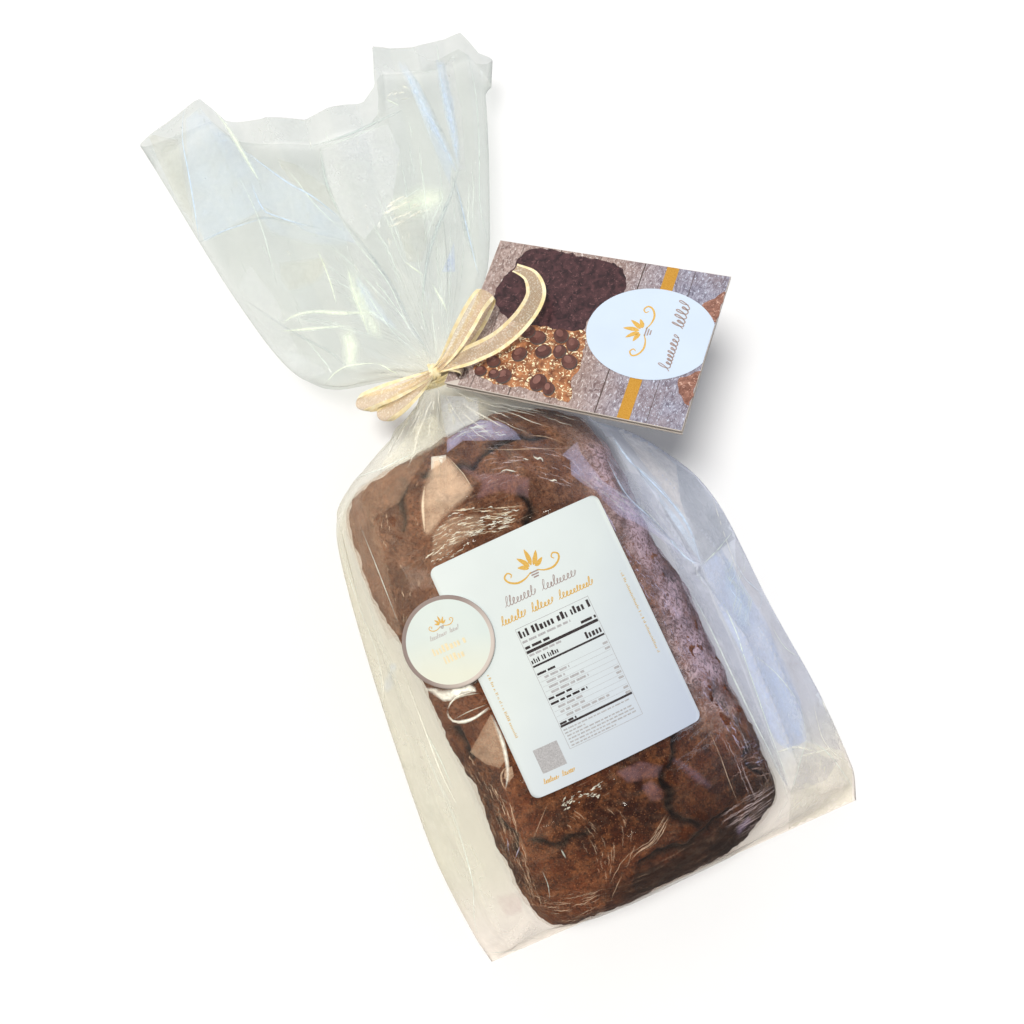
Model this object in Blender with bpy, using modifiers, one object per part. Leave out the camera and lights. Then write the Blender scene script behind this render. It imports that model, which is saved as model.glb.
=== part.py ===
"""A wrapped loaf cake in a clear gusseted gift bag, gathered and tied with a ribbon.

The bag lies on its back. +X is to the right of the label as it is read, +Y runs from
the bottom seam to the tied neck and the open mouth, and +Z is up. Lengths below are in
millimetres, measured from the middle of the loaf. The last step moves the part so that
the middle of its footprint is at the origin.
"""

import math

import bmesh
import bpy
from mathutils import Matrix, Vector

MM = 0.001

# Bag
NECK_Y = 125.0
NECK_END_Y = 131.0
NECK_Z = 30.0
NECK_RADIUS = 8.4
SEAM_SKEW = 0.036
DOME_LEAN = 0.045
HALF = 36

# Paper
LABEL_W = 76.2
LABEL_H = 101.6
LABEL_CORNER = 3.2
PAPER = 0.5
GAP = 0.4
ROUND_D = 38.1
ROUND_AT = (-43.0, 21.0)
CARD_L = 105.0
CARD_S = 74.0
CARD_LEAF = 0.6
CARD_OPEN = 2.0
CARD_CORNER = Vector((1.2, 121.4, 46.0))
CARD_ALONG = Vector((75.0, -63.0, 36.0))
CARD_ACROSS = Vector((51.0, 51.5, -16.0))
HOLE_D = 6.0
HOLE_IN = 6.2

# Ribbon
RIBBON_W = 8.5
RIBBON_T = 0.7
KNOT = Vector((-0.6, 128.0, 43.8))

# Outline of the lying bag, as pairs of station along Y and value
LEFT = ((-121, -86), (-108, -88), (-69, -90), (-17, -86), (34, -80), (76, -73), (90, -68), (99, -59), (110, -36), (117, -17), (125, -8))
RIGHT = ((-121, 95), (-108, 100), (-74, 101), (-27, 98), (20, 97), (40, 93), (56, 85), (72, 74), (86, 58), (100, 38), (113, 19), (125, 9))
RIDGE = ((-121, 2), (-118, 8), (-114, 28), (-110, 44), (-104, 54), (-92, 62), (-70, 67), (-30, 69), (40, 68), (70, 64), (90, 57), (102, 52), (112, 46), (125, 38.4))
EDGE = ((-121, 1.8), (-118, 6), (-114, 22), (-110, 35), (-104, 43), (-92, 48), (-70, 51), (0, 52), (60, 51), (90, 48), (100, 45), (112, 40), (125, 35))
SPREAD = ((-121, 34), (-110, 47), (-95, 55), (-40, 57), (40, 56), (80, 51), (98, 46), (112, 20), (125, 6))
LIFT = ((-121, 0), (96, 0), (106, 4), (115, 12), (125, 21.6))
SIDE = ((-121, 0.9), (78, 0.9), (92, 5), (104, 14), (115, 23), (125, 30))

# Outline of the open end above the tie, as pairs of share of its length and value
FAN_LEFT = ((0, -8), (0.04, -19), (0.09, -42), (0.18, -55), (0.45, -65), (1, -77))
FAN_RIGHT = ((0, 9), (0.06, 16), (0.15, 29), (0.27, 43), (0.5, 58), (0.75, 73), (1, 86))
FAN_MID = ((0, 30), (0.1, 25), (0.3, 19.5), (1, 18.5))
FAN_DEPTH = ((0, 8.4), (0.12, 9.5), (0.4, 14), (1, 15))
MOUTH = ((-78, 282), (-60, 284), (-43, 286), (-37, 273), (-23, 265), (-5, 257), (22, 254), (30, 259), (36, 276), (54, 269), (76, 268), (80, 257), (88, 253))


def along(table, s):
    """Smooth curve through the pairs of a short table."""
    if s <= table[0][0]:
        return table[0][1]
    if s >= table[-1][0]:
        return table[-1][1]
    slopes = []
    last = len(table) - 1
    for i in range(last + 1):
        a = table[max(i - 1, 0)]
        b = table[min(i + 1, last)]
        slopes.append((b[1] - a[1]) / (b[0] - a[0]))
    for i in range(last):
        x0, y0 = table[i]
        x1, y1 = table[i + 1]
        if s <= x1:
            h = x1 - x0
            t = (s - x0) / h
            if y0 == y1:
                return y0
            up = (y1 - y0) / h
            m0 = slopes[i] if slopes[i] * up > 0 else 0.0
            m1 = slopes[i + 1] if slopes[i + 1] * up > 0 else 0.0
            if abs(m0) > 3 * abs(up):
                m0 = 3 * up
            if abs(m1) > 3 * abs(up):
                m1 = 3 * up
            a = (1 + 2 * t) * (1 - t) ** 2 * y0
            b = t * (1 - t) ** 2 * h * m0
            c = t * t * (3 - 2 * t) * y1
            d = t * t * (t - 1) * h * m1
            return a + b + c + d
    return table[-1][1]


def straight(table, s):
    """Straight lines through the pairs of a short table."""
    if s <= table[0][0]:
        return table[0][1]
    for (x0, y0), (x1, y1) in zip(table, table[1:]):
        if s <= x1:
            return y0 + (y1 - y0) * (s - x0) / (x1 - x0)
    return table[-1][1]


def ease(a, b, s):
    """0 below a, 1 above b and a smooth step between."""
    t = min(max((s - a) / (b - a), 0.0), 1.0)
    return t * t * (3 - 2 * t)


def dome(x, s):
    """Height of the film over the loaf at x, for a station s."""
    ridge = along(RIDGE, s)
    edge = along(EDGE, s)
    spread = along(SPREAD, s)
    level = edge + (ridge - edge) * (1 - min(abs(x) / spread, 1.0) ** 2.6)
    return level - DOME_LEAN * x * ease(-118, -100, s) * (1 - ease(90, 120, s))


def tent_top(t, s):
    """A point of the film over the loaf, for t from the right fold at 0 to the left at 1."""
    left = along(LEFT, s)
    right = along(RIGHT, s)
    spread = along(SPREAD, s)
    side = along(SIDE, s)
    if t < 0.25:
        k = t / 0.25
        x = right + (spread - right) * k
        foot = dome(spread, s)
        z = side + (foot - side) * (k + 0.10 * math.sin(math.pi * k) * (1 - ease(60, 100, s)))
        return x, z
    if t > 0.75:
        k = (1 - t) / 0.25
        x = left + (-spread - left) * k
        foot = dome(-spread, s)
        z = side + (foot - side) * (k + 0.10 * math.sin(math.pi * k) * (1 - ease(60, 100, s)))
        return x, z
    x = spread * (1 - (t - 0.25) * 4)
    return x, dome(x, s)


def body_section(s):
    """One closed section of the bag from its bottom seam to the neck."""
    left = along(LEFT, s)
    right = along(RIGHT, s)
    low = along(LIFT, s)
    side = along(SIDE, s)
    ridge = along(RIDGE, s)
    middle = (left + right) / 2
    half = (right - left) / 2
    round_share = ease(98, 123, s)
    pleat = 0.11 * ease(96, 124, s)
    skew = -SEAM_SKEW * (1 - ease(-121, -88, s))
    points = []
    for i in range(2 * HALF):
        angle = math.pi * i / HALF
        fold = 1 + pleat * math.cos(9 * angle + 0.6)
        ring_x = middle + half * math.cos(angle) * fold
        up = (ridge - low) / 2
        ring_z = (ridge + low) / 2 + up * math.sin(angle) * fold
        if i <= HALF:
            tent_x, tent_z = tent_top(i / HALF, s)
        else:
            k = (i - HALF) / HALF
            tent_x = left + (right - left) * k
            tent_z = low
        x = tent_x + (ring_x - tent_x) * round_share
        z = tent_z + (ring_z - tent_z) * round_share
        points.append(Vector((x, s + skew * x, z)))
    return points


def fan_section(u):
    """One closed section of the open end, u running from the tie at 0 to the mouth at 1."""
    left = along(FAN_LEFT, u)
    right = along(FAN_RIGHT, u)
    middle_z = along(FAN_MID, u)
    depth = along(FAN_DEPTH, u)
    middle = (left + right) / 2
    half = (right - left) / 2
    flat = ease(0.02, 0.3, u) * 0.75
    ruffle = 3.6 * ease(0.05, 0.6, u)
    points = []
    for i in range(2 * HALF):
        angle = math.pi * i / HALF
        if i <= HALF:
            line = 1 - 2 * i / HALF
        else:
            line = 2 * (i - HALF) / HALF - 1
        across = (1 - flat) * math.cos(angle) + flat * line
        bulge = math.sqrt(max(1 - across * across, 0.0))
        if i > HALF:
            bulge = -bulge
        pleat = 0.11 * (1 - ease(0.0, 0.22, u)) * math.cos(9 * angle + 0.6)
        x = middle + half * across * (1 + pleat)
        z = middle_z + depth * bulge * (1 + pleat)
        wave = math.sin(0.085 * x + 1.1) + 0.45 * math.sin(0.21 * x - 0.8)
        z += ruffle * wave * (1 if i <= HALF else 0.45) * abs(bulge)
        reach = straight(MOUTH, x) - NECK_END_Y
        usual = 262 - NECK_END_Y
        reach = usual + (reach - usual) * ease(0.35, 1.0, u)
        points.append(Vector((x, NECK_END_Y + u * reach, max(z, 0.7))))
    return points


def collection(name):
    """The named collection, made on first use."""
    found = bpy.data.collections.get(name)
    if found is None:
        found = bpy.data.collections.new(name)
        bpy.context.scene.collection.children.link(found)
    return found


def place_in(made, name):
    """Puts an object in the named collection and in no other."""
    for owner in list(made.users_collection):
        owner.objects.unlink(made)
    collection(name).objects.link(made)


def loft(name, sections):
    """A closed body through sections that all have 2 * HALF points."""
    mesh = bpy.data.meshes.new(name)
    bm = bmesh.new()
    rings = [[bm.verts.new(p * MM) for p in ring] for ring in sections]
    count = 2 * HALF
    for a, b in zip(rings, rings[1:]):
        for i in range(count):
            j = (i + 1) % count
            bm.faces.new((a[i], a[j], b[j], b[i]))
    for ring, turned in ((rings[0], False), (rings[-1], True)):
        for i in range(HALF):
            top = (ring[i], ring[i + 1])
            low = (ring[(count - i - 1) % count], ring[(count - i) % count])
            corners = [top[0], top[1], low[0], low[1]]
            unique = []
            for v in corners:
                if v not in unique:
                    unique.append(v)
            if turned:
                unique.reverse()
            bm.faces.new(unique)
    bmesh.ops.recalc_face_normals(bm, faces=bm.faces)
    bmesh.ops.triangulate(bm, faces=bm.faces)
    bm.to_mesh(mesh)
    bm.free()
    made = bpy.data.objects.new(name, mesh)
    place_in(made, "wrapped_loaf")
    return made


def curved_sheet(name, columns, height, thick):
    """A thin plate of columns of points in plan. height gives its lower face."""
    mesh = bpy.data.meshes.new(name)
    bm = bmesh.new()
    low = []
    high = []
    for column in columns:
        low.append([bm.verts.new(Vector((x, y, height(x, y))) * MM) for x, y in column])
        high.append([bm.verts.new(Vector((x, y, height(x, y) + thick)) * MM) for x, y in column])
    rows = len(columns[0])
    for c in range(len(columns) - 1):
        for r in range(rows - 1):
            bm.faces.new((high[c][r], high[c + 1][r], high[c + 1][r + 1], high[c][r + 1]))
            bm.faces.new((low[c][r], low[c][r + 1], low[c + 1][r + 1], low[c + 1][r]))
        for r in (0, rows - 1):
            bm.faces.new((low[c][r], low[c + 1][r], high[c + 1][r], high[c][r]))
    for c in (0, len(columns) - 1):
        for r in range(rows - 1):
            bm.faces.new((low[c][r], low[c][r + 1], high[c][r + 1], high[c][r]))
    bmesh.ops.recalc_face_normals(bm, faces=bm.faces)
    bmesh.ops.triangulate(bm, faces=bm.faces)
    bm.to_mesh(mesh)
    bm.free()
    made = bpy.data.objects.new(name, mesh)
    place_in(made, "wrapped_loaf")
    return made


def smooth_path(keys, steps):
    """Points on a smooth curve through key points, with the share of the way to each."""
    points = []
    last = len(keys) - 1
    for i in range(last):
        p0 = keys[max(i - 1, 0)]
        p1 = keys[i]
        p2 = keys[i + 1]
        p3 = keys[min(i + 2, last)]
        for j in range(steps):
            t = j / steps
            a = p1 * 2 + (p2 - p0) * t
            b = (p0 * 2 - p1 * 5 + p2 * 4 - p3) * t * t
            c = (p1 * 3 - p0 - p2 * 3 + p3) * t ** 3
            points.append(((a + b + c) / 2, (i + t) / last))
    points.append((keys[-1], 1.0))
    return points


def ribbon_run(name, keys, side, open_end, steps=4, wide=RIBBON_W):
    """A flat strip that starts, and mostly ends, bunched in the knot."""
    mesh = bpy.data.meshes.new(name)
    bm = bmesh.new()
    path = smooth_path([Vector(k) for k in keys], steps)
    rings = []
    for n, (point, share) in enumerate(path):
        before = path[max(n - 1, 0)][0]
        after = path[min(n + 1, len(path) - 1)][0]
        tangent = (after - before).normalized()
        if side is None:
            across = tangent.cross(Vector((0, 0, 1))).normalized()
        else:
            across = Vector(side) - tangent * tangent.dot(Vector(side))
            across.normalize()
        normal = across.cross(tangent).normalized()
        spread = ease(0.0, 0.32, share)
        if not open_end:
            spread *= ease(0.0, 0.32, 1 - share)
        half = (3.2 + (wide - 3.2) * spread) / 2
        thick = (1.5 + (RIBBON_T - 1.5) * spread) / 2
        ring = []
        for a, b in ((1, 1), (-1, 1), (-1, -1), (1, -1)):
            ring.append(bm.verts.new((point + across * half * a + normal * thick * b) * MM))
        rings.append(ring)
    for a, b in zip(rings, rings[1:]):
        for i in range(4):
            j = (i + 1) % 4
            bm.faces.new((a[i], a[j], b[j], b[i]))
    bm.faces.new(rings[0])
    bm.faces.new(rings[-1])
    bmesh.ops.recalc_face_normals(bm, faces=bm.faces)
    bmesh.ops.triangulate(bm, faces=bm.faces)
    bm.to_mesh(mesh)
    bm.free()
    made = bpy.data.objects.new(name, mesh)
    place_in(made, "wrapped_loaf")
    return made


def principled(name, colour, roughness, metallic=0.0, alpha=1.0):
    material = bpy.data.materials.new(name)
    material.use_nodes = True
    shader = material.node_tree.nodes["Principled BSDF"]
    shader.inputs["Base Color"].default_value = (*colour, 1.0)
    shader.inputs["Roughness"].default_value = roughness
    shader.inputs["Metallic"].default_value = metallic
    shader.inputs["Alpha"].default_value = alpha
    return material


def apply_modifiers(made):
    """Turns an object's mesh into what its modifiers show."""
    bpy.context.view_layer.update()
    graph = bpy.context.evaluated_depsgraph_get()
    mesh = bpy.data.meshes.new_from_object(made.evaluated_get(graph))
    made.modifiers.clear()
    made.data = mesh


def solid_from_curve(drawn, name):
    """The mesh that a curve object shows, as an object of its own, with its caps welded."""
    bpy.context.view_layer.update()
    graph = bpy.context.evaluated_depsgraph_get()
    mesh = bpy.data.meshes.new_from_object(drawn.evaluated_get(graph))
    bm = bmesh.new()
    bm.from_mesh(mesh)
    bmesh.ops.remove_doubles(bm, verts=bm.verts, dist=0.000001)
    bmesh.ops.recalc_face_normals(bm, faces=bm.faces)
    bm.to_mesh(mesh)
    bm.free()
    mesh.transform(drawn.matrix_world)
    bpy.data.objects.remove(drawn)
    made = bpy.data.objects.new(name, mesh)
    place_in(made, "wrapped_loaf")
    return made


def card_frame():
    """The card's axes, with the lower left corner of its upper face as origin."""
    along_edge = CARD_ALONG.normalized()
    across = CARD_ACROSS - along_edge * CARD_ACROSS.dot(along_edge)
    across.normalize()
    up = along_edge.cross(across)
    turn = Matrix((along_edge, across, up)).transposed().to_4x4()
    turn.translation = CARD_CORNER * MM
    return turn


def build_bag():
    stations = [-121, -119.5, -118, -116, -114, -112, -110, -107, -103, -98, -91, -82, -70, -52, -32, -10, 12, 32, 48, 60]
    stations += [70, 78, 85, 91, 95, 98, 101, 104, 107, 110, 113, 116, 119, 122, 125, 128]
    sections = []
    for s in stations:
        if s <= 125:
            sections.append(body_section(s))
        else:
            ring = body_section(125)
            sections.append([p + Vector((0, s - 125, 0)) for p in ring])
    for u in (0.0, 0.02, 0.045, 0.07, 0.10, 0.14, 0.19, 0.26, 0.35, 0.46, 0.58, 0.70, 0.82, 0.92, 1.0):
        sections.append(fan_section(u))
    bag = loft("bag", sections)
    bag.data.materials.append(principled("clear_film", (0.62, 0.60, 0.55), 0.15, alpha=0.35))
    return bag


def build_label():
    ys = []
    half_h = LABEL_H / 2
    half_w = LABEL_W / 2
    for i in range(4):
        turn = math.pi / 2 * i / 3
        ys.append((-half_h + LABEL_CORNER * (1 - math.cos(turn)), LABEL_CORNER * (1 - math.sin(turn))))
    steps = 8
    body = []
    for i in range(1, steps):
        body.append((-half_h + LABEL_CORNER + (LABEL_H - 2 * LABEL_CORNER) * i / steps, 0.0))
    rows = ys + body + [(-y, inset) for y, inset in reversed(ys)]
    columns = []
    count = 14
    for c in range(count + 1):
        share = 2 * c / count - 1
        columns.append([(share * (half_w - inset), y) for y, inset in rows])
    label = curved_sheet("label", columns, lambda x, y: dome(x, y) + GAP, PAPER)
    label.data.materials.append(principled("label_paper", (0.84, 0.86, 0.85), 0.45))
    return label


def build_round_label():
    radius = ROUND_D / 2
    step_from = -43.0
    step_to = -LABEL_W / 2 - 1.0
    xs = [radius * math.cos(math.pi * i / 18) + ROUND_AT[0] for i in range(19)]
    xs[0] -= 0.12
    xs[-1] += 0.12
    xs = [x for x in xs if abs(x - step_from) > 1.2 and abs(x - step_to) > 1.2]
    xs = sorted(xs + [step_from, step_to])
    columns = []
    for x in xs:
        reach = math.sqrt(max(radius ** 2 - (x - ROUND_AT[0]) ** 2, 0.0))
        columns.append([(x, ROUND_AT[1] + reach * (2 * j / 10 - 1)) for j in range(11)])

    def height(x, y):
        climb = min(max((x - step_from) / (step_to - step_from), 0.0), 1.0)
        inner = min(max(x, -along(SPREAD, y)), 0.0)
        outside = min(x + along(SPREAD, y), 0.0)
        return dome(inner, y) + 0.35 * outside + 0.5 + (PAPER + GAP) * climb

    made = curved_sheet("round_label", columns, height, PAPER)
    made.data.materials.append(principled("round_label_paper", (0.84, 0.85, 0.84), 0.4))
    return made


def build_card():
    frame = card_frame()
    leaf = CARD_LEAF
    profile = (
        (0.0, 0.0),
        (CARD_S - 0.4, 0.0),
        (CARD_S, -leaf),
        (CARD_S - 0.4, -2 * leaf),
        (0.0, -2 * leaf - CARD_OPEN),
        (0.0, -leaf - CARD_OPEN),
        (CARD_S - 3.0, -leaf - 0.05),
        (0.0, -leaf),
    )
    outline = bpy.data.curves.new("card_outline", "CURVE")
    outline.dimensions = "2D"
    outline.fill_mode = "BOTH"
    outline.extrude = CARD_L / 2 * MM
    spline = outline.splines.new("POLY")
    spline.points.add(len(profile) - 1)
    for point, (a, n) in zip(spline.points, profile):
        point.co = (a * MM, n * MM, 0.0, 1.0)
    spline.use_cyclic_u = True
    drawn = bpy.data.objects.new("card_outline", outline)
    drawn.rotation_euler = (math.pi / 2, 0, math.pi / 2)
    drawn.location = (CARD_L / 2 * MM, 0, 0)
    place_in(drawn, "cutters")
    card = solid_from_curve(drawn, "card")
    bpy.ops.mesh.primitive_cylinder_add(vertices=32, radius=HOLE_D / 2 * MM, depth=12 * MM)
    punch = bpy.context.object
    punch.name = "punch"
    punch.location = Vector((HOLE_IN, HOLE_IN, -1.5)) * MM
    punch.hide_render = True
    punch.display_type = "WIRE"
    place_in(punch, "cutters")
    cut = card.modifiers.new("hole", "BOOLEAN")
    cut.operation = "DIFFERENCE"
    cut.solver = "EXACT"
    cut.object = punch
    apply_modifiers(card)
    bpy.data.objects.remove(punch)
    card.data.transform(frame)
    card.data.materials.clear()
    card.data.materials.append(principled("card_print", (0.42, 0.36, 0.33), 0.4))
    return card


def build_ribbon():
    pieces = []
    bpy.ops.mesh.primitive_cylinder_add(vertices=48, radius=(NECK_RADIUS + 1.7) * MM, depth=5.0 * MM, end_fill_type="NOTHING")
    band = bpy.context.object
    band.rotation_euler = (math.pi / 2, 0, 0)
    band.location = Vector((0.5, 128.0, NECK_Z)) * MM
    wall = band.modifiers.new("wall", "SOLIDIFY")
    wall.thickness = 1.0 * MM
    wall.offset = 1.0
    apply_modifiers(band)
    pieces.append(band)
    bpy.ops.mesh.primitive_uv_sphere_add(segments=24, ring_count=12, radius=1.0 * MM)
    knot = bpy.context.object
    knot.scale = (4.6, 3.9, 3.4)
    knot.rotation_euler = (0, 0, math.radians(-25))
    knot.location = KNOT * MM
    pieces.append(knot)
    lean = (0.50, -0.86, 0.0)
    flat = (0.05, -1.0, 0.0)
    pieces.append(
        ribbon_run(
            "tall_loop",
            ((-0.6, 128, 45.6), (5, 129.6, 50), (11, 133, 53), (19, 138.5, 56), (27.6, 144.5, 57.5), (33.8, 148, 55), (32.3, 145.5, 51.5), (23.6, 138.8, 49), (13, 132, 47.6), (5, 129.3, 46), (-0.6, 128, 42.6)),
            lean,
            False,
        )
    )
    pieces.append(
        ribbon_run(
            "long_tail",
            ((-0.6, 128, 44.6), (5, 127.6, 49.2), (15.7, 126.7, 52), (28.8, 126.9, 54), (41.8, 130.9, 55.5), (51.5, 138, 54.5), (53.7, 147, 51), (49.8, 154.4, 46.5)),
            None,
            True,
        )
    )
    pieces.append(
        ribbon_run(
            "left_loop",
            ((0, 127.6, 45.4), (-7, 127, 47.5), (-18, 127.4, 46), (-29.6, 129, 40), (-36.8, 130.2, 33.5), (-32.9, 130, 29.5), (-21.3, 127.6, 33), (-9.5, 127, 39.6), (-0.5, 127.6, 42.5)),
            flat,
            False,
        )
    )
    pieces.append(
        ribbon_run(
            "lower_loop",
            ((-0.5, 128, 45.2), (-7, 125.0, 47), (-15, 122.9, 45), (-24.3, 121.4, 40), (-30.4, 120.8, 35), (-26.0, 121.8, 32), (-17, 123.4, 36.4), (-8, 125.4, 41.4), (-0.8, 127.8, 42.9)),
            (0.30, -0.95, 0.0),
            False,
        )
    )
    frame = card_frame()
    hole = frame @ (Vector((HOLE_IN, HOLE_IN, 0.0)) * MM) / MM
    up = (frame.to_3x3() @ Vector((0, 0, 1))).normalized()
    pieces.append(
        ribbon_run(
            "card_strand",
            (
                (0.2, 128.0, 45.0),
                (4.5, 126.8, 48.9),
                hole + up * 3.2,
                hole - up * 1.6,
                hole - up * 5.4 + Vector((-0.3, 1.0, 0)),
                (9.2, 126.2, 40.0),
                (7.5, 128.0, 37.9),
            ),
            (0.64, 0.77, 0.0),
            False,
            3,
            3.2,
        )
    )
    place_in(band, "wrapped_loaf")
    for piece in pieces[1:]:
        place_in(piece, "join")
    join = collection("join")
    band.name = "ribbon"
    union = band.modifiers.new("join", "BOOLEAN")
    union.operation = "UNION"
    union.solver = "EXACT"
    union.operand_type = "COLLECTION"
    union.collection = join
    apply_modifiers(band)
    for piece in pieces[1:]:
        bpy.data.objects.remove(piece)
    bpy.data.collections.remove(join)
    band.data.transform(band.matrix_world)
    band.matrix_world = Matrix()
    band.data.materials.clear()
    band.data.materials.append(principled("ribbon_satin", (0.80, 0.64, 0.36), 0.45))
    return band


def clean(made):
    bm = bmesh.new()
    bm.from_mesh(made.data)
    bmesh.ops.remove_doubles(bm, verts=bm.verts, dist=0.000001)
    bmesh.ops.dissolve_degenerate(bm, edges=bm.edges, dist=0.000001)
    bmesh.ops.triangulate(bm, faces=bm.faces)
    bm.to_mesh(made.data)
    bm.free()


def main():
    for left_over in list(bpy.data.objects):
        bpy.data.objects.remove(left_over)
    parts = [build_bag(), build_label(), build_round_label(), build_card(), build_ribbon()]
    for made in parts:
        clean(made)
    corners = [v.co for made in parts for v in made.data.vertices]
    middle_x = (min(c.x for c in corners) + max(c.x for c in corners)) / 2
    middle_y = (min(c.y for c in corners) + max(c.y for c in corners)) / 2
    low = min(c.z for c in corners)
    shift = Matrix.Translation((-middle_x, -middle_y, -low))
    for made in parts:
        made.data.transform(shift)
        made.data.shade_smooth()
        made.data.set_sharp_from_angle(angle=math.radians(35))


main()
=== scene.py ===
"""Looks of the wrapped loaf: film, crust, labels, card, ribbon, light and camera.

Lengths are in millimetres, measured from the middle of the rectangular label, with +X to
its right, +Y towards the tied neck and +Z up. placed() turns them into the part's frame.
"""

import math
import random

import bpy
import numpy as np
from mathutils import Matrix, Vector, noise
from mathutils.bvhtree import BVHTree
from mathutils.geometry import delaunay_2d_cdt


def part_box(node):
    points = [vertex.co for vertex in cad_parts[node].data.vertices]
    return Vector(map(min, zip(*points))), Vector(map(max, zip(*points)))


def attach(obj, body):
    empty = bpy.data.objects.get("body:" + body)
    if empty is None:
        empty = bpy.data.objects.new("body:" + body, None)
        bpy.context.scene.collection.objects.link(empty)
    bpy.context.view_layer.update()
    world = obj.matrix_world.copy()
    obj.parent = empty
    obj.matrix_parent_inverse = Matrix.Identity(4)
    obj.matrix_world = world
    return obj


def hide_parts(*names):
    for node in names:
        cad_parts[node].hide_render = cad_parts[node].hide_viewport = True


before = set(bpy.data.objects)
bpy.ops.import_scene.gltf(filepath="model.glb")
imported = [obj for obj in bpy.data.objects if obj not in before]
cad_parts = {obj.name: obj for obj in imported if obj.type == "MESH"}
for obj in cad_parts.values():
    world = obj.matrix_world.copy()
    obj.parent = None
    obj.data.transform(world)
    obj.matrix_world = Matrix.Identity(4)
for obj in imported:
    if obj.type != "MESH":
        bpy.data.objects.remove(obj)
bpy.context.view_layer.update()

MM = 0.001
label_low, label_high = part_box("label")
SHIFT = np.array(((label_low.x + label_high.x) / 2 / MM, (label_low.y + label_high.y) / 2 / MM, 0.0))

# Bag outline tables. A table pairs a place along the bag with a value there: y from the bottom
# seam to the neck, or a share of the open end
SEAM_Y = -121.0
NECK_Y = 125.0
NECK_END_Y = 131.0
NECK_Z = 30.0
NECK_RADIUS = 8.4
SEAM_SKEW = 0.036
DOME_LEAN = 0.045
LEFT = (
    (-121, -86), (-108, -88), (-69, -90), (-17, -86), (34, -80), (76, -73), (90, -68), (99, -59),
    (110, -36), (117, -17), (125, -8),
)
RIGHT = (
    (-121, 95), (-108, 100), (-74, 101), (-27, 98), (20, 97), (40, 93), (56, 85), (72, 74), (86, 58),
    (100, 38), (113, 19), (125, 9),
)
RIDGE = (
    (-121, 2), (-118, 8), (-114, 28), (-110, 44), (-104, 54), (-92, 62), (-70, 67), (-30, 69), (40, 68),
    (70, 64), (90, 57), (102, 52), (112, 46), (125, 38.4),
)
EDGE = (
    (-121, 1.8), (-118, 6), (-114, 22), (-110, 35), (-104, 43), (-92, 48), (-70, 51), (0, 52), (60, 51),
    (90, 48), (100, 45), (112, 40), (125, 35),
)
SPREAD = ((-121, 34), (-110, 47), (-95, 55), (-40, 57), (40, 56), (80, 51), (98, 46), (112, 20), (125, 6))
LIFT = ((-121, 0), (96, 0), (106, 4), (115, 12), (125, 21.6))
SIDE = ((-121, 0.9), (78, 0.9), (92, 5), (104, 14), (115, 23), (125, 30))
FAN_LEFT = ((0, -8), (0.04, -19), (0.09, -42), (0.18, -55), (0.45, -65), (1, -77))
FAN_RIGHT = ((0, 9), (0.06, 16), (0.15, 29), (0.27, 43), (0.5, 58), (0.75, 73), (1, 86))
FAN_MID = ((0, 30), (0.1, 25), (0.3, 19.5), (1, 18.5))
FAN_DEPTH = ((0, 8.4), (0.12, 9.5), (0.4, 14), (1, 15))
MOUTH = (
    (-78, 282), (-60, 284), (-43, 286), (-37, 273), (-23, 265), (-5, 257), (22, 254), (30, 259),
    (36, 276), (54, 269), (76, 268), (80, 257), (88, 253),
)
FAN_USUAL_Y = 262.0
FAN_CENTRE_Y = 100.0
RUFF_DEPTH = 0.11
RUFF_FOLDS = 9
RUFF_FROM = 0.6
SIDE_SHARE = 0.25

# Loaf
LOAF_OUTLINE = (
    (-47, -110), (-24, -112), (4, -113), (29, -112), (48, -107), (58, -101), (61.5, -90), (61.5, -72),
    (60, -42), (61, -13), (60.5, 4), (57, 21), (57, 37), (56, 52), (55, 68), (51, 83), (43, 92), (33, 98),
    (18, 102), (0, 102), (-20, 100), (-44, 98), (-55, 95), (-61, 89), (-65, 76), (-66, 56), (-64, 36),
    (-62, 12), (-60.5, -17), (-60, -44), (-60.4, -71), (-60, -93), (-56, -105),
)
LOAF_MIDDLE = (0.0, -6.0)
LOAF_HEIGHT = 65.0
LOAF_RIM = 47.0
LOAF_ROUNDING = 20.0
LOAF_TAPER = 0.16
FILM_ROOM = 2.2

# Paper
LABEL_W = 76.2
LABEL_H = 101.6
LABEL_CORNER = 3.2
HALF_W = LABEL_W / 2
HALF_H = LABEL_H / 2
LABEL_MARGIN = 2
LABEL_AREA = (
    (-HALF_W - LABEL_MARGIN, -HALF_H - LABEL_MARGIN), (HALF_W + LABEL_MARGIN, -HALF_H - LABEL_MARGIN),
    (HALF_W + LABEL_MARGIN, HALF_H + LABEL_MARGIN), (-HALF_W - LABEL_MARGIN, HALF_H + LABEL_MARGIN),
)
ROUND_D = 38.1
ROUND_AT = (-43.0, 21.0)
PAPER_TOP = 0.9
PAPER_THICK = 0.35
INK_LIFT = 0.05

# Card
CARD_L = 105.0
CARD_S = 74.0
CARD_CORNER = Vector((1.2, 121.4, 46.0))
CARD_ALONG = Vector((75.0, -63.0, 36.0))
CARD_ACROSS = Vector((51.0, 51.5, -16.0))
HOLE_D = 6.0
HOLE_IN = 6.2

# Ribbon
RIBBON_W = 8.5
KNOT = Vector((-0.6, 128.0, 43.8))

# Camera
CAMERA_AT = Vector((-31.6, 29.6, 553.2))
CAMERA_RIGHT = Vector((0.9064, -0.4205, 0.0395))
CAMERA_DOWN = Vector((-0.4164, -0.9055, -0.0821))
SENSOR = 36.0
PHOTO_PX = 1024
FOCAL_PX = 1200.0


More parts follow.
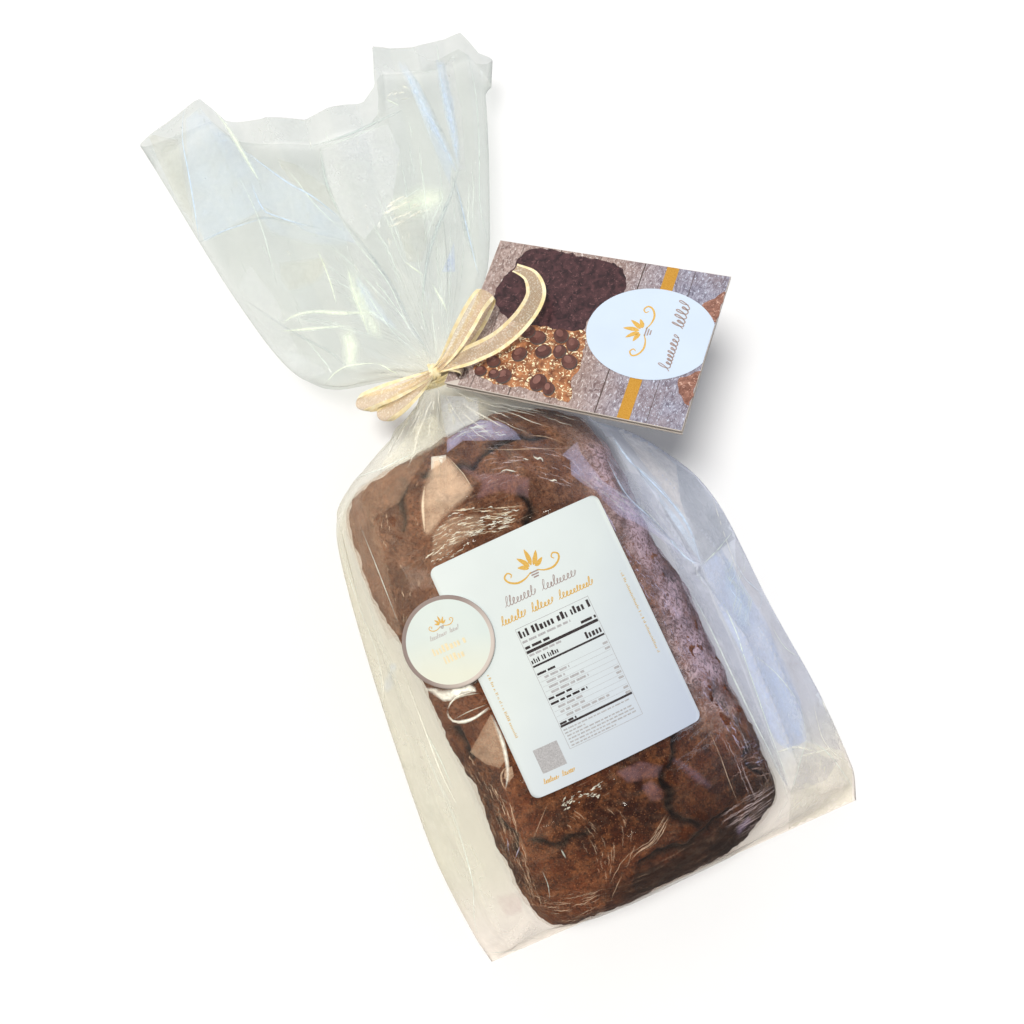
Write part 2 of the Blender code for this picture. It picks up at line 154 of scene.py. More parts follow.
def along(table, s):
    """Smooth curve through the pairs of a short table."""
    if s <= table[0][0]:
        return table[0][1]
    if s >= table[-1][0]:
        return table[-1][1]
    slopes = []
    last = len(table) - 1
    for i in range(last + 1):
        a = table[max(i - 1, 0)]
        b = table[min(i + 1, last)]
        slopes.append((b[1] - a[1]) / (b[0] - a[0]))
    for i in range(last):
        x0, y0 = table[i]
        x1, y1 = table[i + 1]
        if s <= x1:
            h = x1 - x0
            t = (s - x0) / h
            if y0 == y1:
                return y0
            up = (y1 - y0) / h
            m0 = slopes[i] if slopes[i] * up > 0 else 0.0
            m1 = slopes[i + 1] if slopes[i + 1] * up > 0 else 0.0
            if abs(m0) > 3 * abs(up):
                m0 = 3 * up
            if abs(m1) > 3 * abs(up):
                m1 = 3 * up
            a = (1 + 2 * t) * (1 - t) ** 2 * y0
            b = t * (1 - t) ** 2 * h * m0
            c = t * t * (3 - 2 * t) * y1
            d = t * t * (t - 1) * h * m1
            return a + b + c + d
    return table[-1][1]


sampled = {}


def curve(table, values):
    """along() for a whole array, by way of closely spaced samples."""
    if table not in sampled:
        at = np.linspace(table[0][0], table[-1][0], 400)
        sampled[table] = (at, [along(table, s) for s in at])
    return np.interp(values, *sampled[table])


def straight(table, values):
    """Straight lines through the pairs of a short table, for an array."""
    return np.interp(values, [p[0] for p in table], [p[1] for p in table])


def ease(a, b, s):
    """0 below a, 1 above b and a smooth step between, for numbers and arrays."""
    t = np.clip((s - a) / (b - a), 0.0, 1.0)
    return t * t * (3 - 2 * t)


def on_curve(p0, p1, p2, p3, t):
    """The point a share of the way from p1 to p2, on a smooth curve through four points."""
    a = p1 * 2 + (p2 - p0) * t
    b = (p0 * 2 - p1 * 5 + p2 * 4 - p3) * t * t
    c = (p1 * 3 - p0 - p2 * 3 + p3) * t ** 3
    return (a + b + c) / 2


def dome(x, y):
    """Height of the film over the loaf."""
    ridge = curve(RIDGE, y)
    edge = curve(EDGE, y)
    spread = curve(SPREAD, y)
    level = edge + (ridge - edge) * (1 - np.minimum(np.abs(x) / spread, 1.0) ** 2.6)
    return level - DOME_LEAN * x * ease(-118, -100, y) * (1 - ease(90, 120, y))


def dome_at(x, y):
    """Height of the film over the loaf at one place."""
    return float(dome(np.array([x]), np.array([y]))[0])


def film_height(x, y):
    """Height of the film's upper side anywhere over the loaf."""
    spread = curve(SPREAD, y)
    side = curve(SIDE, y)
    fold = np.where(x > 0, curve(RIGHT, y), curve(LEFT, y))
    inner = np.where(x > 0, spread, -spread)
    k = np.clip((x - fold) / (inner - fold), 0.0, 1.0)
    foot = dome(inner, y)
    return np.where(np.abs(x) < spread, dome(x, y), side + (foot - side) * k)


def photo_ray(px, py):
    """Direction from the camera through a pixel of the photograph."""
    forward = CAMERA_RIGHT.cross(CAMERA_DOWN)
    half = PHOTO_PX / 2
    return (CAMERA_RIGHT * (px - half) + CAMERA_DOWN * (py - half) + forward * FOCAL_PX).normalized()


def placed(points):
    """Points in millimetres to the part's frame in metres."""
    return (np.asarray(points, float).reshape(-1, 3) + SHIFT) * MM


def mesh_piece(
    name, points, faces, materials, marks=None, values=None, colours=None, vectors=None, smooth=True
):
    """A piece from points in millimetres, riding on the part's one body."""
    mesh = bpy.data.meshes.new(name)
    mesh.from_pydata(placed(points).tolist(), [], faces)
    for material in materials:
        mesh.materials.append(material)
    if marks is not None:
        mesh.polygons.foreach_set("material_index", marks)
    mesh.polygons.foreach_set("use_smooth", [smooth] * len(faces))
    for key, column in (values or {}).items():
        layer = mesh.attributes.new(key, "FLOAT", "POINT")
        layer.data.foreach_set("value", np.asarray(column, np.float32).ravel())
    for key, rows in (colours or {}).items():
        layer = mesh.attributes.new(key, "FLOAT_COLOR", "POINT")
        layer.data.foreach_set("color", np.asarray(rows, np.float32).ravel())
    for key, rows in (vectors or {}).items():
        layer = mesh.attributes.new(key, "FLOAT_VECTOR", "POINT")
        layer.data.foreach_set("vector", np.asarray(rows, np.float32).ravel())
    mesh.update()
    made = bpy.data.objects.new(name, mesh)
    bpy.context.scene.collection.objects.link(made)
    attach(made, "root")
    return made


def grid_faces(rows, columns, closed):
    """Quads of a grid of points, row by row."""
    faces = []
    for r in range(rows - 1):
        for c in range(columns if closed else columns - 1):
            d = (c + 1) % columns
            faces.append((r * columns + c, r * columns + d, (r + 1) * columns + d, (r + 1) * columns + c))
    return faces


def capped_faces(rows, count):
    """Quads of a closed grid with a face over its first row and its last."""
    faces = grid_faces(rows, count, True)
    faces.append(tuple(range(count)))
    faces.append(tuple(reversed(range((rows - 1) * count, rows * count))))
    return faces


def normals_of(grid):
    """Unit normals of a closed grid of points, rows by columns."""
    down = np.gradient(grid, axis=0)
    over = np.roll(grid, -1, axis=1) - np.roll(grid, 1, axis=1)
    n = np.cross(over, down)
    return n / np.maximum(np.linalg.norm(n, axis=2, keepdims=True), 1e-9)


def outward_normals(grid, row, column):
    """Normals of a closed grid, turned so that the one at a place on its top points up."""
    normal = normals_of(grid)
    return -normal if normal[row, column, 2] < 0 else normal


# Share of the spacing by which the corners of crumpled film stray from even rows
JITTER = 0.42


def facets(x, y, spacing, height, seed):
    """Crumpled film: flat triangles between scattered points of random height."""
    rng = random.Random(seed)
    corners = []
    levels = []
    for i in range(int(x.min() // spacing) - 1, int(x.max() // spacing) + 3):
        for j in range(int(y.min() // spacing) - 1, int(y.max() // spacing) + 3):
            across = (i + rng.uniform(-JITTER, JITTER)) * spacing
            up = (j + rng.uniform(-JITTER, JITTER)) * spacing
            corners.append(Vector((across, up)))
            levels.append(rng.uniform(-1, 1) * height)
    spots, _, triangles, origin, _, _ = delaunay_2d_cdt(corners, [], [], 0, 1e-6)
    level_at = [levels[o[0]] for o in origin]
    out = np.zeros_like(x)
    for a, b, c in triangles:
        pa, pb, pc = spots[a], spots[b], spots[c]
        near = (x >= min(pa.x, pb.x, pc.x)) & (x <= max(pa.x, pb.x, pc.x))
        near &= (y >= min(pa.y, pb.y, pc.y)) & (y <= max(pa.y, pb.y, pc.y))
        if not near.any():
            continue
        px = x[near]
        py = y[near]
        area = (pb.x - pa.x) * (pc.y - pa.y) - (pc.x - pa.x) * (pb.y - pa.y)
        u = ((px - pa.x) * (pc.y - pa.y) - (pc.x - pa.x) * (py - pa.y)) / area
        v = ((pb.x - pa.x) * (py - pa.y) - (px - pa.x) * (pb.y - pa.y)) / area
        inside = (u >= -1e-9) & (v >= -1e-9) & (u + v <= 1 + 1e-9)
        value = level_at[a] * (1 - u - v) + level_at[b] * u + level_at[c] * v
        held = out[near]
        held[inside] = value[inside]
        out[near] = held
    return out


def crease_share(relief, gain, most):
    """How sharply a film's relief bends at each point, as a share of haze."""
    over = np.roll(relief, -1, axis=1) + np.roll(relief, 1, axis=1) - 2 * relief
    down = np.zeros_like(relief)
    down[1:-1] = relief[2:] + relief[:-2] - 2 * relief[1:-1]
    return np.clip((np.abs(over) + np.abs(down)) * gain - 0.02, 0, most)


def line_distance(path, x, y):
    """Distance to a line of points in plan."""
    best = np.full(x.shape, 1e9)
    for (ax, ay), (bx, by) in zip(path, path[1:]):
        dx, dy = bx - ax, by - ay
        t = np.clip(((x - ax) * dx + (y - ay) * dy) / (dx * dx + dy * dy), 0, 1)
        best = np.minimum(best, np.hypot(x - ax - t * dx, y - ay - t * dy))
    return best


def inside_by(outline, x, y):
    """How far a point is inside a closed outline in plan, negative outside."""
    closed = list(outline) + [outline[0]]
    odd = np.zeros(x.shape, bool)
    for (ax, ay), (bx, by) in zip(closed, closed[1:]):
        if ay == by:
            continue
        crosses = (ay > y) != (by > y)
        odd ^= crosses & (x < ax + (y - ay) * (bx - ax) / (by - ay))
    away = line_distance(closed, x, y)
    return np.where(odd, away, -away)


def rough_noise(points, size, seed, octaves=3):
    """Smooth noise at points, with features of a size in millimetres."""
    offset = Vector((seed * 17.3, seed * 5.1, seed * 11.7))
    return np.array([noise.fractal(Vector(p) / size + offset, 0.9, 2.1, octaves) for p in points])


def noise_like(x):
    """A gentle uneven wave along x, about one high."""
    return 0.6 * np.sin(0.31 * x + 1.0) + 0.4 * np.sin(0.83 * x + 2.2)


def srgb(red, green, blue):
    """A colour read as 0 to 255, as the linear colour that shaders take."""
    out = []
    for value in (red, green, blue):
        c = value / 255
        out.append(c / 12.92 if c <= 0.04045 else ((c + 0.055) / 1.055) ** 2.4)
    return (*out, 1.0)


# Materials


def new_material(name):
    """An empty material and its node tree."""
    material = bpy.data.materials.new(name)
    material.use_nodes = True
    material.node_tree.nodes.clear()
    return material, material.node_tree


def add(tree, kind, inputs=None, **settings):
    """A shader node. Inputs that are sockets are linked, others are set."""
    made = tree.nodes.new("ShaderNode" + kind)
    for key, value in settings.items():
        setattr(made, key, value)
    for key, value in (inputs or {}).items():
        if isinstance(value, bpy.types.NodeSocket):
            tree.links.new(value, made.inputs[key])
        else:
            made.inputs[key].default_value = value
    return made


def object_place(tree):
    """The place on the object, in metres."""
    return add(tree, "TexCoord").outputs["Object"]


def noise_at(tree, vector, scale, detail, roughness, distortion=0.0):
    """Noise from 0 to 1 over any coordinates."""
    inputs = {"Vector": vector, "Scale": scale, "Detail": detail, "Roughness": roughness}
    return add(tree, "TexNoise", {**inputs, "Distortion": distortion}).outputs["Fac"]


def texture(tree, vector, size, detail=3.0, roughness=0.55, distortion=0.0):
    """Noise from 0 to 1 with features of about a size in millimetres."""
    return noise_at(tree, vector, 1 / (size * MM), detail, roughness, distortion)


def cells(tree, vector, size):
    """Distance to the middle of the nearest of scattered cells of a size in millimetres."""
    inputs = {"Vector": vector, "Scale": 1 / (size * MM), "Randomness": 1.0}
    return add(tree, "TexVoronoi", inputs).outputs["Distance"]


def stretched(tree, vector, turn, stretch):
    """Coordinates turned about Z and squeezed, for streaks."""
    return add(tree, "Mapping", {"Vector": vector, "Rotation": (0, 0, turn), "Scale": stretch}).outputs[0]


def spread_range(tree, value, low, high, to_low=0.0, to_high=1.0):
    """A value moved from one range to another and kept within it."""
    inputs = {"Value": value, "From Min": low, "From Max": high, "To Min": to_low, "To Max": to_high}
    return add(tree, "MapRange", inputs).outputs["Result"]


def sum_of(tree, a, b, operation="ADD"):
    """Two values added, or joined by another operation."""
    return add(tree, "Math", {0: a, 1: b}, operation=operation).outputs[0]


def mixed(tree, factor, a, b):
    """Colour a where the factor is 0 and b where it is 1."""
    return add(tree, "Mix", {0: factor, 6: a, 7: b}, data_type="RGBA").outputs[2]


def attribute(tree, name, output="Fac"):
    """What the mesh says at each point under a name."""
    return add(tree, "Attribute", attribute_name=name).outputs[output]


def bump(tree, height, distance, strength=1.0):
    """A normal roughened by a height, over a distance in millimetres."""
    return add(tree, "Bump", {"Height": height, "Distance": distance * MM, "Strength": strength}).outputs[0]


def finish_material(tree, shader):
    """Makes a shader the material's surface."""
    add(tree, "OutputMaterial", {"Surface": shader})


def surface(tree, colour, roughness, normal=None, **more):
    """An opaque surface."""
    inputs = {"Base Color": colour, "Roughness": roughness}
    if normal is not None:
        inputs["Normal"] = normal
    inputs.update(more)
    return add(tree, "BsdfPrincipled", inputs).outputs[0]


BAG_SHINE = 0.3
CLING_SHINE = 0.06
SHADE_LEFT = 0.3


def shadow_share(tree):
    """One, but less for shadow rays, so that lamps reach what lies under a film."""
    return spread_range(tree, add(tree, "LightPath").outputs["Is Shadow Ray"], 0.0, 1.0, 1.0, SHADE_LEFT)


def film_material(name, dye, gloss, head_on, grazing, ripple, streaks=False):
    """Clear film: see-through, glossy by angle, with haze where the mesh says so."""
    material, tree = new_material(name)
    place = object_place(tree)
    wave = bump(tree, texture(tree, place, 7.0, 2.0), ripple, 0.5)
    tint = attribute(tree, "tint", "Color")
    see = add(tree, "BsdfTransparent", {"Color": mixed(tree, dye, (1.0, 1.0, 1.0, 1.0), tint)}).outputs[0]
    share = attribute(tree, "haze")
    cloud = spread_range(tree, texture(tree, place, 22.0, 4.0), 0.35, 0.7, 0.75, 1.25)
    share = sum_of(tree, share, cloud, "MULTIPLY")
    passing = shadow_share(tree)
    if streaks:
        crinkle = texture(tree, place, 2.6, 4.0, 0.7, 1.5)
        share = sum_of(tree, share, spread_range(tree, crinkle, 0.38, 0.62, 0.25, 1.7), "MULTIPLY")
        line = cling_lines(tree, place)
        share = sum_of(tree, share, line)
        ridge = {"Height": line, "Distance": 0.5 * MM, "Strength": 0.6, "Normal": wave}
        wave = add(tree, "Bump", ridge).outputs[0]
    shine = add(tree, "BsdfGlossy", {"Roughness": gloss, "Normal": wave}).outputs[0]
    facing = add(tree, "LayerWeight", {"Blend": 0.5, "Normal": wave}).outputs["Facing"]
    angle = spread_range(tree, sum_of(tree, facing, 5.0, "POWER"), 0.0, 1.0, head_on, grazing)
    angle = sum_of(tree, angle, passing, "MULTIPLY")
    share = sum_of(tree, share, passing, "MULTIPLY")
    bare = add(tree, "MixShader", {0: angle, 1: see, 2: shine}).outputs[0]
    milk = add(tree, "BsdfDiffuse", {"Color": tint}).outputs[0]
    finish_material(tree, add(tree, "MixShader", {0: share, 1: bare, 2: milk}).outputs[0])
    return material


def thin_lines(tree, vector, roughness, distortion, low, high, where):
    """Lines from squeezed noise, as strong as a mesh attribute says at each place."""
    lines = noise_at(tree, vector, 1.0, 3.0, roughness, distortion)
    return sum_of(tree, spread_range(tree, lines, low, high), attribute(tree, where), "MULTIPLY")


def cling_lines(tree, place):
    """Fine stretch lines, partly whitening and partly painted glints: across the top and round the rim."""
    across = stretched(tree, place, 0.14, (70.0, 1500.0, 70.0))
    top = thin_lines(tree, across, 0.6, 0.5, 0.60, 0.72, "top_lines")
    rim = attribute(tree, "draw", "Vector")
    around = stretched(tree, rim, 0.0, (0.06, 1.3, 1.0))
    hoop = thin_lines(tree, around, 0.65, 0.9, 0.58, 0.72, "rim_lines")
    upward = stretched(tree, rim, 0.0, (0.9, 0.07, 1.0))
    spoke = thin_lines(tree, upward, 0.65, 0.9, 0.60, 0.74, "spoke_lines")
    return sum_of(tree, top, sum_of(tree, hoop, spoke))


CRUST_LOW_Y = -40.0 + SHIFT[1]
CRUST_HIGH_Y = 40.0 + SHIFT[1]


def crust_material():
    """Baked crust, darker towards the near end; painted shade there, in hollows, pits and cracks."""
    material, tree = new_material("crust")
    place = object_place(tree)
    broad = texture(tree, place, 26.0, 4.0)
    middle = texture(tree, place, 6.0, 5.0, 0.65)
    fine = texture(tree, place, 1.3, 4.0, 0.7)
    along_y = add(tree, "SeparateXYZ", {0: place}).outputs["Y"]
    upper = spread_range(tree, along_y, CRUST_LOW_Y * MM, CRUST_HIGH_Y * MM)
    dark = mixed(tree, upper, srgb(66, 29, 15), srgb(92, 54, 36))
    brown = mixed(tree, upper, srgb(122, 64, 35), srgb(138, 88, 62))
    tan = mixed(tree, upper, srgb(168, 106, 66), srgb(176, 124, 92))
    colour = mixed(tree, spread_range(tree, broad, 0.38, 0.62), dark, brown)
    colour = mixed(tree, spread_range(tree, middle, 0.46, 0.70, 0.0, 0.75), colour, tan)
    # Painted shade: the hollows of the fine bump are darkened.
    hollow_shade = spread_range(tree, fine, 0.36, 0.54, 0.7, 0.0)
    colour = mixed(tree, hollow_shade, colour, mixed(tree, upper, srgb(36, 16, 9), srgb(64, 34, 22)))
    # Painted shade: small dark pits stand in for the shade in the crust's pores.
    pit_shade = cells(tree, place, 3.4)
    pit_shade = sum_of(tree, pit_shade, sum_of(tree, texture(tree, place, 9.0, 2.0), 0.9, "MULTIPLY"))
    colour = mixed(tree, spread_range(tree, pit_shade, 0.50, 0.60, 0.5, 0.0), colour, srgb(40, 19, 12))
    speck = spread_range(tree, cells(tree, place, 1.1), 0.12, 0.24, 0.55, 0.0)
    colour = mixed(tree, speck, colour, srgb(190, 132, 92))
    # Painted shade: the shade attribute darkens the near end face and the right of that end, as if out of
    # the light.
    colour = mixed(tree, attribute(tree, "shade"), colour, srgb(30, 16, 11))
    # Painted shade: the crack attribute blackens the cracks.
    colour = mixed(tree, attribute(tree, "crack"), colour, srgb(18, 8, 6))
    grain = sum_of(tree, middle, sum_of(tree, fine, 0.7, "MULTIPLY"))
    normal = bump(tree, grain, 1.6, 1.0)
    finish_material(tree, surface(tree, colour, 0.62, normal, **{"Specular IOR Level": 0.08}))
    return material


def paper_material(name, colour, roughness, mottle=0.04, fade=None):
    """Coated paper. A fade is painted light or shade: a direction, two distances in millimetres and a
    second colour.
    """
    material, tree = new_material(name)
    place = object_place(tree)
    fibre = texture(tree, place, 0.9, 4.0, 0.6)
    broad = texture(tree, place, 24.0, 2.0)
    shade = tuple(c * (1 - mottle) for c in colour[:3]) + (1.0,)
    tone = mixed(tree, spread_range(tree, broad, 0.3, 0.7), colour, shade)
    if fade is not None:
        direction, near, far, second = fade
        run = add(tree, "VectorMath", {0: place, 1: direction}, operation="DOT_PRODUCT").outputs["Value"]
        middle = float(np.dot(SHIFT, direction))
        ramp = spread_range(tree, run, (near + middle) * MM, (far + middle) * MM)
        tone = mixed(tree, ramp, tone, second)
    normal = bump(tree, fibre, 0.03, 0.3)
    coat = {"Coat Weight": 0.25, "Coat Roughness": 0.25}
    finish_material(tree, surface(tree, tone, roughness, normal, **coat))
    return material


def ink_material(name, colour, worn):
    """Printed ink, a little uneven."""
    material, tree = new_material(name)
    place = object_place(tree)
    grain = texture(tree, place, 0.5, 3.0)
    tone = mixed(tree, spread_range(tree, grain, 0.35, 0.65), colour, worn)
    finish_material(tree, surface(tree, tone, 0.45))
    return material


# Film bag

TOP_STEPS = 200
BASE_STEPS = 60
FILM_TINT = srgb(232, 242, 232)
FAN_TINT = srgb(213, 220, 213)
BAND_TINT = srgb(222, 226, 238)
SEAM_TINT = srgb(252, 243, 232)
CREAM = srgb(240, 235, 212)
LEFT_TINT = srgb(235, 231, 210)
# Painted highlight: the colour of glare on the film.
GLARE = srgb(255, 252, 236)
# Painted reflections in the film's facets, down to MIST.
PALE_BLUE = srgb(210, 228, 248)
SKY_BLUE = srgb(186, 206, 250)
LAVENDER = srgb(200, 200, 236)
PEARL = srgb(206, 208, 210)
OLIVE = srgb(206, 204, 182)
MIST = srgb(236, 238, 240)
# Painted shade on the film's facets.
PAINTED_SHADE_GREY = srgb(158, 162, 177)
# Painted light over the card's cast shadow on the film.
PAINTED_LIGHT_PALE = srgb(228, 222, 219)
# Painted shade on the film's facets.
PAINTED_SHADE_SLATE = srgb(172, 176, 184)
# Painted highlight: the colour of the fan's glints.
GLINT = srgb(246, 255, 232)
# Painted shade for the strip at the fan's mouth.
MOUTH_SHADE_TINT = srgb(186, 194, 188)
# Painted reflection of the cool light in the film.
REFLECTED_BLUE = srgb(192, 204, 232)
# Painted shade on the film's facets.
PAINTED_SHADE_WARM = srgb(194, 190, 194)
# Painted reflections in the film, down to DUSK_LILAC.
TAN = srgb(196, 160, 132)
APRICOT = srgb(232, 200, 168)
ROSE = srgb(196, 152, 156)
DUSK_LILAC = srgb(190, 168, 196)
FRONT_PLEATS = (
    (0, 0), (0.05, 0.6), (0.11, -0.4), (0.19, 0.8), (0.26, -0.2), (0.33, 0.4), (0.41, -0.7), (0.49, 0.5),
    (0.56, -0.3), (0.65, 0.9), (0.73, -0.5), (0.81, 0.5), (0.9, -0.3), (1, 0),
)
BACK_PLEATS = (
    (0, 0), (0.1, 0.5), (0.24, -0.5), (0.37, 0.4), (0.5, -0.4), (0.63, 0.6), (0.78, -0.4), (0.9, 0.3),
    (1, 0),
)


def row_steps():
    """Shares of the way over a closed row's top and along its back, and its turns in radians."""
    t = np.linspace(0.0, 1.0, TOP_STEPS + 1)
    base = np.linspace(0.0, 1.0, BASE_STEPS + 1)[1:-1]
    return t, base, np.concatenate((math.pi * t, math.pi + math.pi * base))


def upper_side(x):
    """Which points of the film's grid are on its upper side."""
    top = np.zeros(x.shape, bool)
    top[:, : TOP_STEPS + 1] = True
    return top


def body_rows(stations):
    """Closed rows of film from the bottom seam to the neck: over the top, then back below."""
    rows = []
    t, base, turn = row_steps()
    for s in stations:
        left, right, low, side, ridge = (along(table, s) for table in (LEFT, RIGHT, LIFT, SIDE, RIDGE))
        spread = along(SPREAD, s)
        k = np.clip(np.minimum(t, 1 - t) / SIDE_SHARE, 0, 1)
        fold = np.where(t < 0.5, right, left)
        inner = np.where(t < 0.5, spread, -spread)
        foot = dome(inner, np.full_like(t, s))
        over = spread * (1 - (t - SIDE_SHARE) / SIDE_SHARE)
        bulge = 0.10 * np.sin(math.pi * k) * (1 - ease(60, 100, s))
        x = np.where(k < 1, fold + (inner - fold) * k, over)
        z = np.where(k < 1, side + (foot - side) * (k + bulge), dome(over, np.full_like(t, s)))
        x = np.concatenate((x, left + (right - left) * base))
        z = np.concatenate((z, np.full_like(base, low)))
        ruff = 1 + RUFF_DEPTH * ease(96, 124, s) * np.cos(RUFF_FOLDS * turn + RUFF_FROM)
        ring_x = (left + right) / 2 + (right - left) / 2 * np.cos(turn) * ruff
        ring_z = (ridge + low) / 2 + (ridge - low) / 2 * np.sin(turn) * ruff
        share = ease(98, 123, s)
        x = x + (ring_x - x) * share
        z = z + (ring_z - z) * share
        skew = -SEAM_SKEW * (1 - ease(SEAM_Y, -88, s))
        rows.append(np.stack((x, s + skew * x, z), axis=1))
    return rows


def fan_row(u):
    """One closed row of the open end, u from 0 at the tie to 1 at the mouth."""
    left, right, middle_z, depth = (along(table, u) for table in (FAN_LEFT, FAN_RIGHT, FAN_MID, FAN_DEPTH))
    t, base, turn = row_steps()
    line = np.concatenate((1 - 2 * t, 2 * base - 1))
    top = np.concatenate((np.ones_like(t, bool), np.zeros_like(base, bool)))
    flat = ease(0.02, 0.3, u) * 0.75
    across = (1 - flat) * np.cos(turn) + flat * line
    bulge = np.sqrt(np.maximum(1 - across * across, 0.0)) * np.where(top, 1, -1)
    ruff = RUFF_DEPTH * (1 - ease(0.0, 0.22, u)) * np.cos(RUFF_FOLDS * turn + RUFF_FROM)
    x = (left + right) / 2 + (right - left) / 2 * across * (1 + ruff)
    z = middle_z + depth * bulge * (1 + ruff)
    q = (1 - across) / 2
    lift = np.where(top, straight(FRONT_PLEATS, q) * 4.0, straight(BACK_PLEATS, q) * 3.0)
    z = z + lift * ease(0.03, 0.35, u) * (0.8 + 0.2 * math.sin(9 * u))
    wave = np.sin(0.085 * x + 1.1) + 0.45 * np.sin(0.21 * x - 0.8)
    z = z + 1.8 * ease(0.05, 0.6, u) * wave * np.where(top, 1, 0.45) * np.abs(bulge)
    usual = FAN_USUAL_Y - NECK_END_Y
    reach = usual + (straight(MOUTH, x) - NECK_END_Y - usual) * ease(0.35, 1.0, u)
    return np.stack((x, NECK_END_Y + u * reach, np.maximum(z, 0.6)), axis=1)


CREASES = (
    # line in plan, height, half width
    (((-86, -120), (-70, -108), (-57, -96)), 1.6, 4),
    (((96, -117), (78, -106), (60, -95)), 1.6, 4),
    (((-74, -110), (-74, -40), (-70, 40), (-62, 86)), 1.4, 4),
    (((82, -110), (84, -40), (80, 10), (66, 40)), 1.4, 5),
    (((38, 72), (47, 48), (65, 5)), 2.0, 3),
    (((57, 70), (63, 40), (65, 5)), 2.2, 3),
    (((65, 5), (72, -30), (70, -90)), 1.6, 3),
    (((-20, 95), (-24, 78), (-18, 62)), 1.0, 3),
    (((-8, 96), (-4, 76), (-14, 71), (-26, 75)), 0.9, 3),
    (((-50, 92), (-58, 60), (-60, 20)), 0.4, 4),
    (((-62, 80), (-80, 30), (-84, -20)), 1.4, 4),
)

# Tones of the laid folds and bands: white is partly crease whitening and partly painted highlight; cream,
# glint and straw are painted highlights; blue, tan, pink, lilac and dusk painted reflections; grey, shade
# and pearl painted shade
TONES = {
    "white": FILM_TINT,
    "cream": GLARE,
    "glint": GLINT,
    "blue": PALE_BLUE,
    "tan": srgb(236, 202, 172),
    "pink": srgb(232, 208, 206),
    "lilac": srgb(216, 208, 240),
    "grey": srgb(176, 184, 176),
    "shade": srgb(168, 180, 184),
    "pearl": srgb(176, 180, 190),
    "straw": srgb(250, 228, 196),
    "dusk": srgb(204, 168, 154),
}

# Pixels of the photograph: tone, width in millimetres, strength and line of each broad shade:
# painted shade along a fold, or a painted blue reflection
FILM_SHADES = (
    ("blue", 5.0, 0.6, ((399, 62), (415, 90), (434, 127), (450, 159), (456, 172))),
    ("blue", 4.6, 0.6, ((437, 60), (443, 90), (453, 133), (458, 168))),
    ("shade", 2.4, 0.35, ((406, 64), (421, 90), (439, 127), (454, 159), (458, 172))),
    ("shade", 2.2, 0.35, ((443, 62), (448, 90), (457, 133), (460, 168))),
    ("shade", 2.6, 0.5, ((459, 168), (452, 191), (439, 224), (428, 256), (422, 300))),
    ("shade", 3.4, 0.5, ((452, 176), (460, 204), (468, 236), (476, 262))),
    ("shade", 2.4, 0.45, ((321, 149), (326, 181), (337, 208), (342, 218))),
    ("shade", 2.0, 0.45, ((342, 218), (364, 246), (392, 286), (414, 330), (430, 354))),
    ("shade", 1.8, 0.35, ((313, 146), (348, 135), (377, 122), (401, 111))),
    ("shade", 1.6, 0.35, ((200, 242), (236, 226), (265, 218), (320, 228))),
    ("shade", 1.6, 0.3, ((246, 300), (290, 330), (330, 352), (352, 372))),
    ("pearl", 4.0, 0.45, ((628, 492), (652, 520), (676, 546), (700, 564))),
    ("pearl", 3.0, 0.45, ((700, 566), (716, 604), (744, 666), (772, 742), (790, 792))),
)
